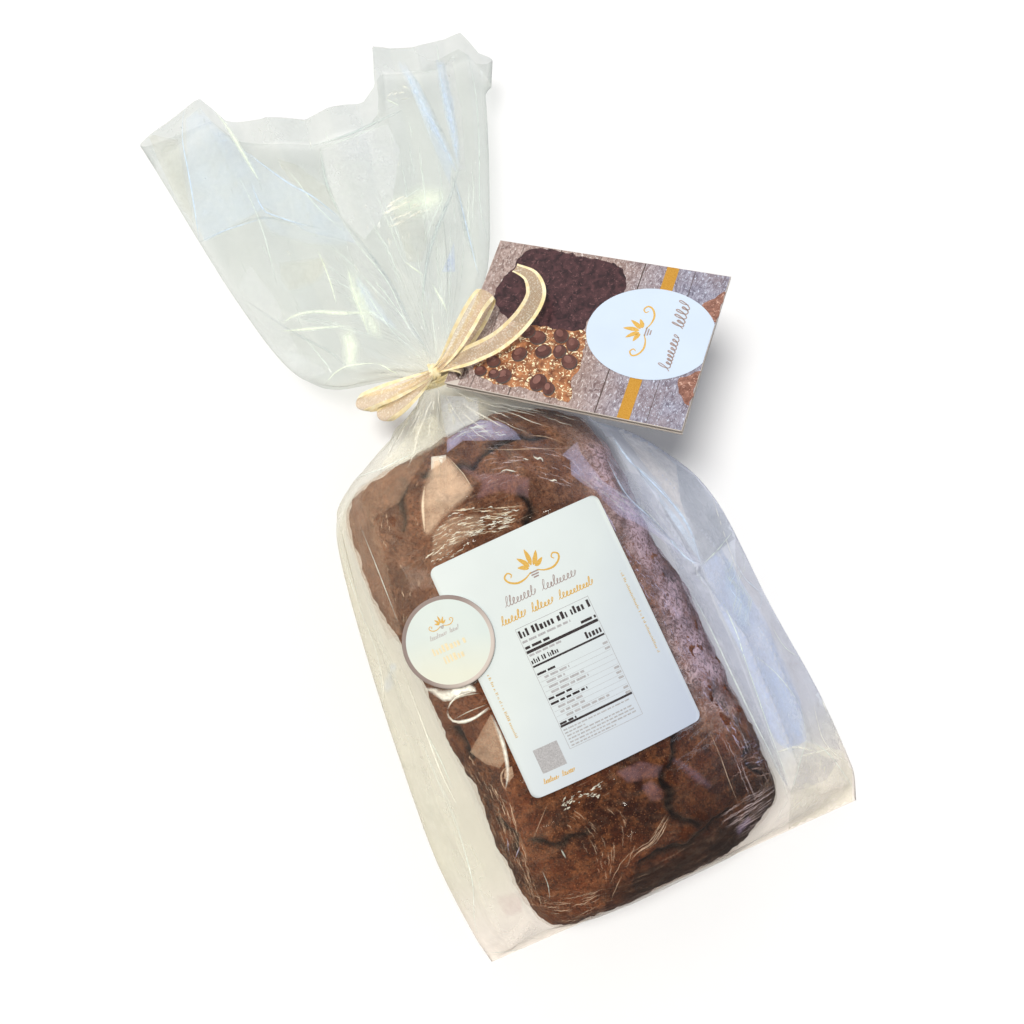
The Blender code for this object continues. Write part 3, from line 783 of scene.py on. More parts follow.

# Pixels of the photograph: tone, width in millimetres and line of each bright fold,
# partly the whitening of the crease and partly a painted highlight or reflection
FOLD_LINES = (
    ("glint", 2.2, ((212, 108), (227, 127), (246, 159), (259, 181))),
    ("blue", 1.2, ((249, 154), (286, 181), (313, 197), (340, 218))),
    ("white", 0.8, ((340, 218), (361, 248), (388, 283), (409, 328), (428, 352))),
    ("white", 0.6, ((235, 170), (254, 208), (267, 245), (277, 285))),
    ("glint", 0.9, ((318, 250), (329, 277), (337, 304))),
    ("glint", 2.1, ((348, 269), (353, 291), (361, 312), (368, 333))),
    ("glint", 2.0, ((283, 323), (294, 316), (313, 312), (342, 313), (379, 313))),
    ("glint", 1.5, ((281, 331), (308, 329), (345, 326))),
    ("glint", 0.9, ((322, 388), (334, 374), (348, 366), (376, 363))),
    ("glint", 1.0, ((377, 363), (400, 375))),
    ("white", 0.6, ((302, 333), (334, 374))),
    ("glint", 0.9, ((404, 261), (425, 277))),
    ("glint", 1.4, ((431, 283), (442, 301), (448, 315))),
    ("white", 0.9, ((313, 146), (348, 135), (377, 122), (401, 111))),
    ("white", 0.6, ((318, 149), (350, 138), (385, 124))),
    ("white", 0.8, ((459, 159), (452, 191), (439, 224), (428, 256), (423, 288), (421, 328))),
    ("white", 0.6, ((436, 41), (439, 63))),
    ("white", 0.8, ((468, 55), (476, 100), (479, 154), (480, 208), (492, 256))),
    ("blue", 0.8, ((455, 181), (466, 224), (479, 277))),
    ("blue", 0.9, ((184, 111), (183, 141), (191, 186), (200, 242))),
    ("blue", 0.6, ((200, 242), (227, 230), (265, 218))),
    ("white", 0.8, ((321, 149), (326, 181), (337, 208), (342, 218))),
    ("white", 0.8, ((372, 277), (393, 304), (415, 336))),
    ("blue", 1.0, ((251, 183), (262, 208), (275, 216), (308, 226))),
    ("glint", 1.2, ((346, 336), (350, 355), (352, 366))),
    ("white", 0.6, ((350, 258), (358, 277), (377, 309), (396, 336), (423, 355))),
    ("white", 0.6, ((423, 245), (436, 213), (446, 191))),
    ("glint", 0.8, ((385, 99), (399, 106))),
    ("white", 0.6, ((278, 159), (297, 181), (318, 208), (353, 240))),
    ("white", 0.9, ((346, 509), (354, 481), (382, 469), (420, 450))),
    ("white", 0.8, ((337, 523), (344, 557), (358, 602), (379, 660), (384, 726))),
    ("cream", 1.5, ((399, 660), (420, 715), (441, 771), (459, 808))),
    ("white", 0.9, ((423, 726), (441, 760), (453, 788))),
    ("white", 0.8, ((453, 812), (472, 877), (475, 919), (482, 950))),
    ("straw", 1.5, ((425, 486), (423, 506), (425, 532))),
    ("straw", 0.35, ((447, 456), (464, 475), (473, 489))),
    ("cream", 1.4, ((447, 712), (453, 721), (472, 719), (489, 707))),
    ("cream", 0.9, ((448, 709), (456, 697), (475, 691))),
    ("cream", 2.0, ((492, 715), (503, 743), (508, 771), (506, 788))),
    ("white", 0.8, ((468, 953), (513, 950), (560, 936))),
    ("white", 0.8, ((361, 526), (375, 561), (399, 623))),
    ("cream", 0.9, ((380, 660), (384, 688), (382, 715))),
    ("blue", 2.8, ((603, 422), (626, 457), (655, 486), (686, 523), (701, 566))),
    ("blue", 2.2, ((607, 460), (626, 495), (655, 523), (683, 555), (701, 566))),
    ("white", 0.9, ((701, 566), (718, 549), (732, 532))),
    ("white", 1.2, (
        (701, 566), (704, 578), (721, 601), (735, 630), (744, 658), (758, 699), (772, 739), (787, 779),
        (790, 790),
    )),
    ("white", 0.9, ((686, 584), (709, 627), (732, 676), (755, 724), (778, 770), (787, 799))),
    ("cream", 0.9, ((712, 498), (726, 541), (738, 575))),
    ("blue", 0.8, ((721, 555), (735, 572), (729, 587), (744, 607), (749, 624))),
    ("blue", 0.6, ((732, 555), (744, 578), (761, 595), (758, 612))),
    ("white", 0.9, ((770, 624), (784, 647), (804, 661))),
    ("cream", 0.9, ((813, 704), (821, 736), (833, 753), (850, 767), (863, 802))),
    ("white", 0.8, ((807, 736), (798, 767), (790, 796))),
    ("cream", 1.5, ((775, 753), (795, 747), (815, 752))),
    ("cream", 0.9, ((798, 756), (818, 752), (836, 746))),
    ("cream", 1.5, ((821, 699), (827, 713))),
    ("white", 0.8, ((747, 650), (778, 676), (801, 710), (804, 739))),
    ("white", 0.6, ((629, 495), (655, 521), (689, 561))),
    ("blue", 1.0, ((637, 467), (658, 486), (681, 515), (695, 541))),
    ("white", 0.8, ((863, 803), (830, 756), (807, 739))),
)

# Pixels of the photograph: pairs of lines with more than one bundle of folds between them
NECK_TO_LEFT = (
    ((430, 366), (398, 345), (345, 330), (285, 318)),
    ((436, 360), (420, 300), (400, 230), (372, 160)),
)
NECK_TO_TOP = (
    ((436, 362), (424, 300), (410, 220), (395, 140)),
    ((446, 360), (466, 310), (478, 240), (480, 150)),
)
NECK_TO_LOAF = (
    ((428, 384), (405, 410), (375, 445), (345, 500)),
    ((440, 386), (440, 420), (440, 440), (436, 462)),
)

# Tone, width, strength, number, shortest and longest share, and the two lines between which
# a bundle of fine folds of the bag runs: painted highlights and reflections, painted shade in grey
FILM_BUNDLES = (
    ("white", 0.6, 0.7, 26, 0.15, 0.55, *NECK_TO_LEFT),
    ("grey", 0.5, 0.2, 12, 0.15, 0.50, *NECK_TO_LEFT),
    ("white", 0.6, 0.7, 22, 0.15, 0.50, *NECK_TO_TOP),
    ("grey", 0.5, 0.2, 10, 0.15, 0.50, *NECK_TO_TOP),
    ("cream", 0.9, 0.7, 18, 0.15, 0.60, *NECK_TO_LOAF),
    ("grey", 0.5, 0.3, 7, 0.15, 0.50, *NECK_TO_LOAF),
    ("cream", 0.6, 0.7, 18, 0.15, 0.60,
        ((442, 386), (450, 410), (462, 430), (480, 446)),
        ((448, 386), (480, 400), (540, 410), (590, 425)),
    ),
    ("white", 0.5, 0.5, 30, 0.05, 0.25,
        ((590, 428), (640, 500), (690, 580), (730, 660), (775, 770)),
        ((640, 430), (700, 490), (750, 600), (800, 700), (830, 780)),
    ),
    ("blue", 0.5, 0.5, 24, 0.03, 0.12,
        ((610, 450), (660, 520), (710, 590), (760, 690)),
        ((700, 490), (735, 560), (765, 620), (800, 700)),
    ),
    ("white", 0.5, 0.5, 22, 0.05, 0.30,
        ((346, 520), (372, 620), (400, 720), (470, 930)),
        ((352, 560), (392, 660), (440, 770), (500, 920)),
    ),
    ("cream", 0.7, 0.6, 20, 0.10, 0.40,
        ((475, 955), (560, 930), (680, 880), (800, 815)),
        ((500, 925), (570, 932), (700, 872), (850, 780)),
    ),
    ("dusk", 0.6, 0.45, 18, 0.08, 0.30,
        ((570, 922), (660, 882), (730, 850), (790, 812)),
        ((600, 922), (690, 884), (760, 850), (820, 812)),
    ),
    ("cream", 1.1, 0.8, 22, 0.10, 0.35,
        ((378, 214), (396, 200), (424, 188)),
        ((388, 230), (412, 222), (446, 204)),
    ),
    ("cream", 0.8, 0.7, 10, 0.10, 0.35,
        ((384, 92), (400, 84), (410, 90)),
        ((386, 116), (402, 108), (412, 100)),
    ),
    ("white", 0.5, 0.6, 40, 0.02, 0.07,
        ((165, 130), (215, 250), (290, 360)),
        ((460, 80), (470, 200), (440, 330)),
    ),
    ("white", 0.4, 0.8, 22, 0.12, 0.40,
        ((449, 448), (465, 438), (490, 437), (516, 436)),
        ((450, 432), (465, 426), (485, 422), (505, 426)),
    ),
    ("white", 0.5, 0.5, 30, 0.06, 0.22,
        ((578, 445), (600, 478), (640, 508), (698, 562)),
        ((572, 470), (604, 498), (650, 530), (690, 560)),
    ),
    ("white", 0.8, 0.7, 10, 0.45, 0.95,
        ((722, 536), (731, 554), (723, 572), (737, 590), (731, 612), (744, 636)),
        ((740, 545), (748, 566), (741, 584), (754, 602), (749, 622), (762, 644)),
    ),
    ("cream", 0.5, 0.6, 26, 0.02, 0.06,
        ((200, 130), (260, 240), (320, 330)),
        ((420, 80), (430, 190), (420, 300)),
    ),
)

# Panels of film: step between corners in pixels, share of its strength that a crisp panel
# has at its very edge, and the softness up to which a panel is crisp
PANEL_STEP = 4.0
PANEL_EDGE = 0.7
CRISP_TO = 1.5

# Pixels of the photograph: tone, strength, softness and outline of each tinted panel of film.
# The tints are painted reflections, highlights and shade, and painted light over the card's shadow
PANELS = (
    (PALE_BLUE, 0.26, 1.5, (
        (186, 119), (200, 108), (216, 127), (249, 154), (286, 181), (340, 218), (358, 244), (308, 232),
        (265, 208), (206, 242), (196, 224), (187, 170),
    )),
    (PALE_BLUE, 0.14, 2, (
        (249, 186), (270, 216), (324, 232), (361, 245), (345, 248), (308, 245), (270, 234), (254, 208),
    )),
    (OLIVE, 0.26, 4, ((278, 262), (322, 256), (331, 264), (322, 280), (305, 290), (290, 292), (280, 280))),
    (OLIVE, 0.22, 1.5, ((278, 159), (297, 165), (332, 191), (340, 213), (318, 205), (291, 181))),
    (OLIVE, 0.25, 1.5, ((148, 134), (178, 140), (187, 190), (194, 224), (180, 206), (162, 168))),
    (OLIVE, 0.2, 1.5, ((392, 205), (420, 190), (428, 240), (422, 262), (408, 262), (398, 230))),
    (MIST, 0.3, 1.5, (
        (322, 150), (350, 138), (388, 124), (400, 150), (392, 205), (364, 240), (340, 216), (328, 182),
    )),
    (MIST, 0.22, 3, ((250, 262), (278, 300), (300, 352), (330, 372), (300, 388), (262, 330), (236, 286))),
    (PEARL, 0.3, 1.5, ((342, 218), (372, 260), (402, 304), (428, 350), (404, 328), (372, 290), (350, 256))),
    (PEARL, 0.3, 1.5, ((441, 66), (452, 60), (462, 110), (466, 170), (458, 172), (452, 120))),
    (GLINT, 0.8, 22, ((384, 198), (414, 180), (450, 184), (452, 204), (428, 224), (394, 220))),
    (GLINT, 0.8, 12, ((338, 334), (350, 320), (362, 344), (360, 372), (342, 370))),
    (GLINT, 0.7, 12, ((342, 256), (357, 270), (375, 308), (388, 344), (368, 338), (348, 300))),
    (SKY_BLUE, 0.4, 1.5, ((454, 242), (455, 272), (442, 272))),
    (PALE_BLUE, 0.3, 1.5, (
        (404, 63), (420, 84), (439, 133), (452, 159), (450, 186), (431, 141), (412, 92),
    )),
    (PALE_BLUE, 0.3, 2, ((436, 60), (444, 60), (455, 100), (460, 149), (455, 159), (444, 114))),
    (PALE_BLUE, 0.28, 2, ((350, 266), (369, 288), (409, 342), (396, 333), (369, 315), (356, 288))),
    (LAVENDER, 0.38, 1.0, (
        (447, 453), (463, 441), (480, 441), (508, 440), (521, 440), (516, 432), (508, 426), (498, 421),
        (480, 420), (462, 430), (447, 440),
    )),
    (PEARL, 0.5, 1.0, ((440, 395), (478, 398), (480, 419), (462, 430), (447, 439), (443, 420))),
    (CREAM, 0.42, 2.0, (
        (377, 467), (411, 428), (432, 410), (441, 420), (447, 443), (432, 451), (411, 462), (386, 471),
    )),
    (TAN, 0.3, 1.5, (
        (432, 450), (411, 481), (400, 502), (388, 509), (376, 517), (365, 530), (346, 532), (346, 512),
        (359, 487), (384, 472), (410, 462),
    )),
    (GLARE, 0.9, 1.0, ((431, 457), (446, 455), (446, 460), (438, 466), (431, 470))),
    (APRICOT, 0.66, 6.0, (
        (447, 455), (457, 467), (467, 477), (475, 489), (471, 496), (461, 505), (452, 512), (443, 520),
        (436, 530), (430, 538), (423, 536), (420, 519), (419, 500), (424, 482), (429, 466), (432, 456),
    )),
    (APRICOT, 0.35, 1.0, (
        (434, 462), (447, 457), (457, 468), (466, 477), (472, 488), (462, 494), (450, 497), (440, 490),
        (434, 478),
    )),
    (TAN, 0.26, 1.5, (
        (376, 517), (383, 545), (392, 590), (402, 634), (388, 640), (376, 612), (362, 574), (351, 546),
        (346, 532), (365, 530),
    )),
    (ROSE, 0.2, 2.0, (
        (451, 456), (480, 473), (501, 471), (531, 477), (529, 499), (499, 493), (474, 502), (480, 484),
        (462, 471),
    )),
    (LAVENDER, 0.32, 1.0, (
        (577, 442), (581, 453), (591, 466), (603, 481), (626, 496), (641, 510), (662, 529), (683, 547),
        (700, 561), (700, 567), (674, 550), (660, 538), (634, 522), (620, 517), (603, 501), (596, 491),
        (584, 485), (571, 475), (570, 461), (562, 455),
    )),
    (GLARE, 1.1, 2.0, (
        (422, 687), (431, 687), (444, 689), (461, 687), (475, 682), (477, 692), (461, 695), (453, 701),
        (444, 702),
    )),
    (APRICOT, 0.22, 3, (
        (432, 532), (448, 518), (478, 512), (486, 524), (468, 540), (446, 556), (430, 566),
    )),
    (APRICOT, 0.42, 1.0, ((470, 752), (482, 730), (491, 714), (507, 758), (500, 768), (486, 764))),
    (APRICOT, 0.6, 1.0, ((505, 770), (512, 766), (514, 776), (509, 782), (504, 778))),
    (ROSE, 0.2, 2.0, ((492, 895), (522, 890), (524, 912), (507, 919))),
    (PALE_BLUE, 0.3, 2, ((389, 664), (399, 660), (394, 688), (379, 702))),
    (PALE_BLUE, 0.6, 1.5, (
        (636, 467), (648, 481), (662, 499), (679, 520), (693, 541), (700, 561), (690, 547), (676, 526),
        (660, 502), (646, 484),
    )),
    (PAINTED_LIGHT_PALE, 0.65, 1.0, (
        (608, 418), (640, 430), (676, 466), (680, 500), (690, 530), (660, 485), (632, 450),
    )),
    (PAINTED_SHADE_SLATE, 0.6, 1.0, (
        (676, 464), (694, 476), (718, 506), (738, 536), (721, 549), (702, 566), (690, 530), (680, 500),
    )),
    (PAINTED_SHADE_GREY, 0.5, 1.0, (
        (606, 452), (622, 470), (640, 475), (660, 503), (678, 528), (700, 561), (655, 530), (622, 494),
    )),
    (PAINTED_SHADE_GREY, 0.5, 1.0, (
        (664, 540), (701, 566), (712, 600), (735, 650), (760, 715), (790, 792), (775, 768), (746, 702),
        (712, 632), (682, 580),
    )),
    (REFLECTED_BLUE, 0.55, 1.0, (
        (701, 566), (721, 549), (735, 572), (765, 620), (800, 700), (806, 740), (790, 752), (776, 742),
        (768, 728), (744, 660), (715, 600),
    )),
    (PALE_BLUE, 0.35, 2.0, ((722, 556), (733, 560), (750, 600), (748, 640), (736, 625), (724, 590))),
    (PALE_BLUE, 0.3, 3, ((747, 650), (778, 676), (801, 710), (804, 739), (790, 733), (767, 687))),
    (PAINTED_SHADE_WARM, 0.4, 1.0, (
        (735, 535), (765, 600), (800, 660), (835, 720), (846, 752), (806, 742), (800, 700), (765, 620),
        (735, 572),
    )),
    (CREAM, 0.4, 1.0, ((790, 792), (806, 742), (846, 752), (860, 778), (864, 802), (818, 822), (788, 834))),
    (DUSK_LILAC, 0.24, 8.0, (
        (667, 758), (678, 757), (698, 770), (713, 784), (712, 792), (696, 784), (684, 774),
    )),
    (ROSE, 0.22, 4.0, ((638, 786), (652, 778), (664, 790), (664, 802), (650, 802))),
    (ROSE, 0.2, 4.0, ((612, 772), (640, 760), (664, 764), (660, 778), (628, 784))),
    (DUSK_LILAC, 0.3, 3.0, ((732, 829), (748, 815), (753, 821), (738, 836))),
    (PAINTED_SHADE_WARM, 0.4, 1.0, ((790, 792), (806, 742), (822, 756), (838, 760), (826, 780), (800, 790))),
)


def film_relief(grid, fan_from):
    """How far each point of the film stands out, for its creases and facets."""
    x, y = grid[:, :, 0], grid[:, :, 1]
    spread = curve(SPREAD, y)
    tent = ease(0, 12, np.abs(x) - spread + 4)
    near_end = ease(96, 116, np.abs(y - LOAF_MIDDLE[1]))
    loose = np.maximum(tent, near_end)
    long_facets = facets(x, y * 0.45, 15, 1.0, 3)
    small = facets(x, y, 10, 1.0, 8)
    relief = long_facets * (0.5 + 1.3 * loose) + small * (0.16 + 0.34 * loose)
    for path, height, width in CREASES:
        relief += height * np.maximum(0, 1 - line_distance(path, x, y) / width)
    angle = np.arctan2(x - 0.5, np.abs(NECK_Y + 3 - y) + 3)
    away = np.hypot(x - 0.5, NECK_Y + 3 - y)
    gather = facets(angle * 40, away * 0.12, 3.6, 1.0, 12)
    pleats = 2.6 * ease(8, 22, away) * (1 - ease(30, 75, away)) * (y < NECK_Y)
    relief += gather * pleats
    under = np.maximum(
        ease(0, 4, inside_by(LABEL_AREA, x, y)),
        ease(0, 4, ROUND_D / 2 + LABEL_MARGIN - np.hypot(x - ROUND_AT[0], y - ROUND_AT[1])),
    )
    relief = relief * (1 - under) - 0.25 * under
    edge_fade = np.ones(x.shape[1])
    edge_fade[:6] = np.linspace(0, 1, 6)
    edge_fade[TOP_STEPS - 5 : TOP_STEPS + 1] = np.linspace(1, 0, 6)
    relief[:fan_from] *= ease(-119, -112, y[:fan_from])
    fan_angle = np.arctan2(x[fan_from:], y[fan_from:] - FAN_CENTRE_Y)
    fan_away = np.hypot(x[fan_from:], y[fan_from:] - FAN_CENTRE_Y)
    panels = facets(fan_angle * 100, fan_away * 0.4, 17, 1.0, 5)
    wrinkles = facets(fan_angle * 100, fan_away * 0.8, 8, 1.0, 6)
    grow = ease(NECK_END_Y, NECK_END_Y + 40, y[fan_from:])
    relief[fan_from:] = (panels * 2.2 + wrinkles * 0.35) * grow + gather[fan_from:] * 1.2 * (1 - grow)
    relief = relief * edge_fade[None, :] * upper_side(x)
    relief[fan_from - 5 : fan_from + 1] = 0
    return relief


def film_looks(grid, relief, fan_from):
    """Haze and tint of the film at each point."""
    x, y = grid[:, :, 0], grid[:, :, 1]
    beside = ease(-1.0, 3.0, -inside_by(LOAF_OUTLINE, x, y))
    seam = 1 - ease(-114, -100, y)
    haze = 0.24 + 0.14 * ease(20, 60, x) + 0.10 * ease(66, 84, -x) + 0.16 * seam
    haze = 0.004 + beside * haze
    # Painted shade: the strip at the mouth gets more haze and a darker tint, standing in for the film's
    # shadow on the floor that the rest of the fan shows.
    mouth = 1 - ease(11, 14, straight(MOUTH, x[fan_from:]) - y[fan_from:])
    haze[fan_from:] = 0.19 + 0.16 * mouth
    haze *= 1 - 0.35 * ease(94, 102, y) * (1 - ease(118, 128, y))
    haze -= 0.10 * ease(50, 74, x) * (1 - ease(-98, -82, y))
    haze *= 1 - 0.6 * ease(8, 26, grid[:, :, 2]) * (1 - ease(-110, -102, y))
    haze[~upper_side(x)] = 0.05
    haze += crease_share(relief, 0.22, 0.14) * (0.25 + 0.75 * beside)
    haze[:3] += 0.12
    tint = np.tile(np.array(FAN_TINT), (*x.shape, 1))
    body = 1 - ease(112, 150, y)[:, :, None]
    left = ease(-10, 50, -x)[:, :, None] * body
    right = ease(10, 60, x)[:, :, None] * body * ease(-100, -70, y)[:, :, None]
    low = (1 - ease(-110, -70, y))[:, :, None]
    neck = (ease(88, 104, y) * (1 - ease(126, 150, y)))[:, :, None] * (1 - left) * (1 - right)
    for share, colour in ((left, LEFT_TINT), (right, BAND_TINT), (low, SEAM_TINT), (neck, CREAM)):
        tint = tint * (1 - share) + np.array(colour) * share
    # The mouth's painted shade.
    tint[fan_from:] += (np.array(MOUTH_SHADE_TINT) - np.array(FAN_TINT)) * mouth[:, :, None]
    return np.clip(haze, 0, 0.9), tint


# Rows of the film from the bottom seam to the neck: start, end and step
BODY_STEPS = ((SEAM_Y, -99, 1.0), (-99, 96, 1.2), (96, 125.1, 0.85))


def build_film():
    """The bag's own film, with its panels and folds, partly painted light and shade, laid on it."""
    body = np.concatenate([np.arange(start, end, step) for start, end, step in BODY_STEPS])
    rows = body_rows(body)
    neck = rows[-1]
    for step in (1.5, 3.0, 4.5):
        rows.append(neck + np.array((0, step, 0)))
    fan_from = len(rows)
    fan = np.concatenate((np.linspace(0, 0.2, 26, endpoint=False), np.linspace(0.2, 1.0, 84)))
    for u in fan:
        rows.append(fan_row(u))
    grid = np.array(rows)
    relief = film_relief(grid, fan_from)
    normal = outward_normals(grid, len(body) // 2, TOP_STEPS // 2)
    grid = grid + normal * relief[:, :, None]
    grid[:, :, 2] = np.maximum(grid[:, :, 2], 0.25)
    haze, tint = film_looks(grid, relief, fan_from)
    count = grid.shape[1]
    faces = grid_faces(len(grid), count, True)
    first = [tuple(range(count))]
    film = film_material("bag_film", dye=0.2, gloss=0.05, head_on=0.045, grazing=BAG_SHINE, ripple=0.03)
    points = grid.reshape(-1, 3)
    made = mesh_piece(
        "film_bag", points, faces + first, [film], values={"haze": haze}, colours={"tint": tint}
    )
    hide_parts("bag")
    tree = BVHTree.FromPolygons(points.tolist(), faces)
    lay_panels("film_panel_light_and_shade", tree)
    runs = [(TONES[tone], wide, strong, pixel_line(line)) for tone, wide, strong, line in FILM_SHADES]
    runs += [(TONES[tone], wide, 1.0, pixel_line(line)) for tone, wide, line in FOLD_LINES]
    runs += bundled(FILM_BUNDLES, 17)
    lay_folds("film_fold_light_and_shade", tree, runs)


def between(line_a, line_b, share, start, end):
    """Part of a line that runs at a share of the way from one line to another."""
    a, b = pixel_line(line_a, 25), pixel_line(line_b, 25)
    run = a + (b - a) * share
    at = np.linspace(start, end, 8) * 24
    steps = np.arange(25)
    return np.stack((np.interp(at, steps, run[:, 0]), np.interp(at, steps, run[:, 1])), axis=1)


def bundled(bundles, seed):
    """Fine folds of each bundle, with a random place, length and width."""
    rng = random.Random(seed)
    runs = []
    for tone, wide, strong, number, shortest, longest, line_a, line_b in bundles:
        for _ in range(number):
            long = rng.uniform(shortest, longest)
            start = rng.uniform(0, 1 - long)
            line = between(line_a, line_b, rng.random(), start, start + long)
            line += np.array([[rng.uniform(-0.7, 0.7), rng.uniform(-0.7, 0.7)] for _ in line])
            runs.append((TONES[tone], wide * rng.uniform(0.6, 1.4), strong * rng.uniform(0.5, 1.1), line))
    return runs


def milky_material(name, patch):
    """Film that a vertex strength makes milky, unevenly, in patches of a size in millimetres."""
    material, tree = new_material(name)
    milk = surface(tree, attribute(tree, "tint", "Color"), 0.25)
    clear = add(tree, "BsdfTransparent", {"Color": (1.0, 1.0, 1.0, 1.0)}).outputs[0]
    uneven = spread_range(tree, texture(tree, object_place(tree), patch, 4.0, 0.65), 0.3, 0.7, 0.5, 1.2)
    crinkle = texture(tree, object_place(tree), 2.0, 3.0, 0.6, 1.2)
    crinkle = spread_range(tree, crinkle, 0.35, 0.65, 0.85, 1.12)
    share = sum_of(tree, attribute(tree, "strength"), sum_of(tree, uneven, crinkle, "MULTIPLY"), "MULTIPLY")
    share = sum_of(tree, share, shadow_share(tree), "MULTIPLY")
    finish_material(tree, add(tree, "MixShader", {0: share, 1: clear, 2: milk}).outputs[0])
    return material


def photo_spot(film, px, py):
    """Where a pixel of the photograph falls on a film, with the normal that faces the camera."""
    ray = photo_ray(px, py)
    spot, normal, _, _ = film.ray_cast(CAMERA_AT, ray)
    if spot is None:
        return None
    return spot, normal if normal.dot(ray) < 0 else -normal


def patch(outline, step):
    """Triangles that fill an outline of pixels, with their corners about a step apart."""
    edge = []
    for (ax, ay), (bx, by) in zip(outline, outline[1:] + outline[:1]):
        pieces = max(1, int(math.hypot(bx - ax, by - ay) / step))
        edge += [(ax + (bx - ax) * n / pieces, ay + (by - ay) * n / pieces) for n in range(pieces)]
    ex, ey = np.array(edge).T
    x, y = np.meshgrid(np.arange(ex.min(), ex.max(), step), np.arange(ey.min(), ey.max(), step))
    room = inside_by(outline, x, y)
    within = [(a, b) for a, b in zip(x[room > 2].tolist(), y[room > 2].tolist())]
    corners = [Vector(spot) for spot in edge + within]
    flat, _, triangles, _, _, _ = delaunay_2d_cdt(corners, [], [list(range(len(edge)))], 1, 1e-4)
    return np.array([tuple(spot) for spot in flat]), triangles


def lay_panels(name, film):
    """Flat panels of folded film as crisp patches on the bag, in painted reflections, highlights and shade.
    """
    points, faces, strength, tint = [], [], [], []
    for order, (colour, strong, soft, outline) in enumerate(PANELS):
        rise = 0.12 + 0.05 * (order % 4)
        flat, triangles = patch(outline, PANEL_STEP)
        fx, fy = flat.T
        crisp = PANEL_EDGE if soft <= CRISP_TO else 0.0
        share = strong * (crisp + (1 - crisp) * ease(0, max(soft, 3.0), inside_by(outline, fx, fy)))
        place = {}
        for n in range(len(flat)):
            found = photo_spot(film, fx[n], fy[n])
            if found:
                place[n] = len(points)
                points.append(tuple(found[0] + found[1] * rise))
                strength.append(share[n])
                tint.append(colour)
        for corner in triangles:
            if all(n in place for n in corner):
                faces.append(tuple(place[n] for n in corner))
    film_look = [milky_material(name, 11.0)]
    made = mesh_piece(name, points, faces, film_look, values={"strength": strength}, colours={"tint": tint})


def pixel_line(keys, count=None):
    """Evenly spread pixels on a smooth line through a few."""
    fine = np.array([(spot.x, spot.y) for spot, _ in smooth_path([Vector((*key, 0)) for key in keys], 8)])
    run = np.concatenate(([0], np.cumsum(np.linalg.norm(np.diff(fine, axis=0), axis=1))))
    at = np.linspace(0, run[-1], count or max(6, int(run[-1] / 5)))
    return np.stack((np.interp(at, run, fine[:, 0]), np.interp(at, run, fine[:, 1])), axis=1)


def lay_folds(name, film, runs):
    """Sharp folds, as thin tapered strips that lie on a film, bright and dark."""
    # Bright folds are partly the whitening of the crease and partly painted highlight; dark ones are
    # painted shade.
    points, faces, strength, tint = [], [], [], []
    for colour, wide, strong, line in runs:
        hits = []
        for px, py in line:
            found = photo_spot(film, px, py)
            if found:
                hits.append(found)
        if len(hits) < 4:
            continue
        start = len(points)
        last = len(hits) - 1
        for n, (spot, normal) in enumerate(hits):
            ahead = (hits[min(n + 1, last)][0] - hits[max(n - 1, 0)][0]).normalized()
            across = normal.cross(ahead).normalized()
            taper = math.sin(math.pi * (0.04 + 0.92 * n / last)) ** 0.6
            for side in (-1, 0, 1):
                rise = 0.36 if side == 0 else 0.28
                points.append(tuple(spot + across * wide * 0.5 * taper * side + normal * rise))
                strength.append(strong * taper * (1.0 if side == 0 else 0.18))
                tint.append(colour)
        for face in grid_faces(len(hits), 3, False):
            faces.append(tuple(start + i for i in face))
    film_look = [milky_material(name, 3.0)]
    made = mesh_piece(name, points, faces, film_look, values={"strength": strength}, colours={"tint": tint})


# Loaf and its cling film

RINGS_TOP = 100
RINGS_SIDE = 26
ROUND_STEPS = 560
CRACKS = (
    # line in plan, depth, half width
    (((13, -62), (14, -67), (14, -71), (11, -76), (11, -81), (14, -86), (20, -90)), 3.2, 1.2),
    (((-10, -94), (-1, -93), (10, -95), (22, -94), (34, -90)), 2.6, 1.5),
    (((10, 63), (12, 59), (11, 55), (8, 51)), 3.0, 1.4),
    (((26, -53), (22, -58), (17, -62)), 1.8, 1.1),
    (((50, -27), (54, -38), (49, -46), (52, -56)), 2.0, 1.2),
    (((54, -60), (56, -70), (51, -78), (54, -86)), 2.2, 1.3),
    (((53, 14), (55, 3), (51, -16)), 1.8, 1.2),
    (((-55, -54), (-53, -62), (-55, -70)), 1.6, 1.2),
    (((-57, -13), (-55, -20), (-54, -26)), 1.4, 1.1),
    (((-33, 90), (-36, 82), (-40, 72)), 1.0, 1.2),
    (((-22, 88), (-6, 84), (12, 88), (30, 82)), 1.3, 1.2),
    (((-44, -66), (-36, -72), (-24, -71)), 1.2, 0.9),
)


def closed_curve(keys, count):
    """Evenly spaced points on a smooth closed curve through key points."""
    keys = np.array(keys, float)
    fine = []
    n = len(keys)
    for i in range(n):
        p0, p1, p2, p3 = (keys[(i + j) % n] for j in (-1, 0, 1, 2))
        for t in np.linspace(0, 1, 24, endpoint=False):
            fine.append(on_curve(p0, p1, p2, p3, t))
    fine = np.array(fine + [fine[0]])
    run = np.concatenate(([0], np.cumsum(np.linalg.norm(np.diff(fine, axis=0), axis=1))))
    at = np.linspace(0, run[-1], count, endpoint=False)
    return np.stack((np.interp(at, run, fine[:, 0]), np.interp(at, run, fine[:, 1])), axis=1)


# The crown falls off to both sides, and more towards both ends
CROWN_HALF = 62
CROWN_POWER = 2.4
END_DROP = 9.0
END_DROP_FROM, END_DROP_TO = 60, 104

# Share of the side at which the foot begins to round in, how far it goes, and its height
FOOT_FROM = 0.86
FOOT_IN = 5.0
FOOT_Z = 0.9


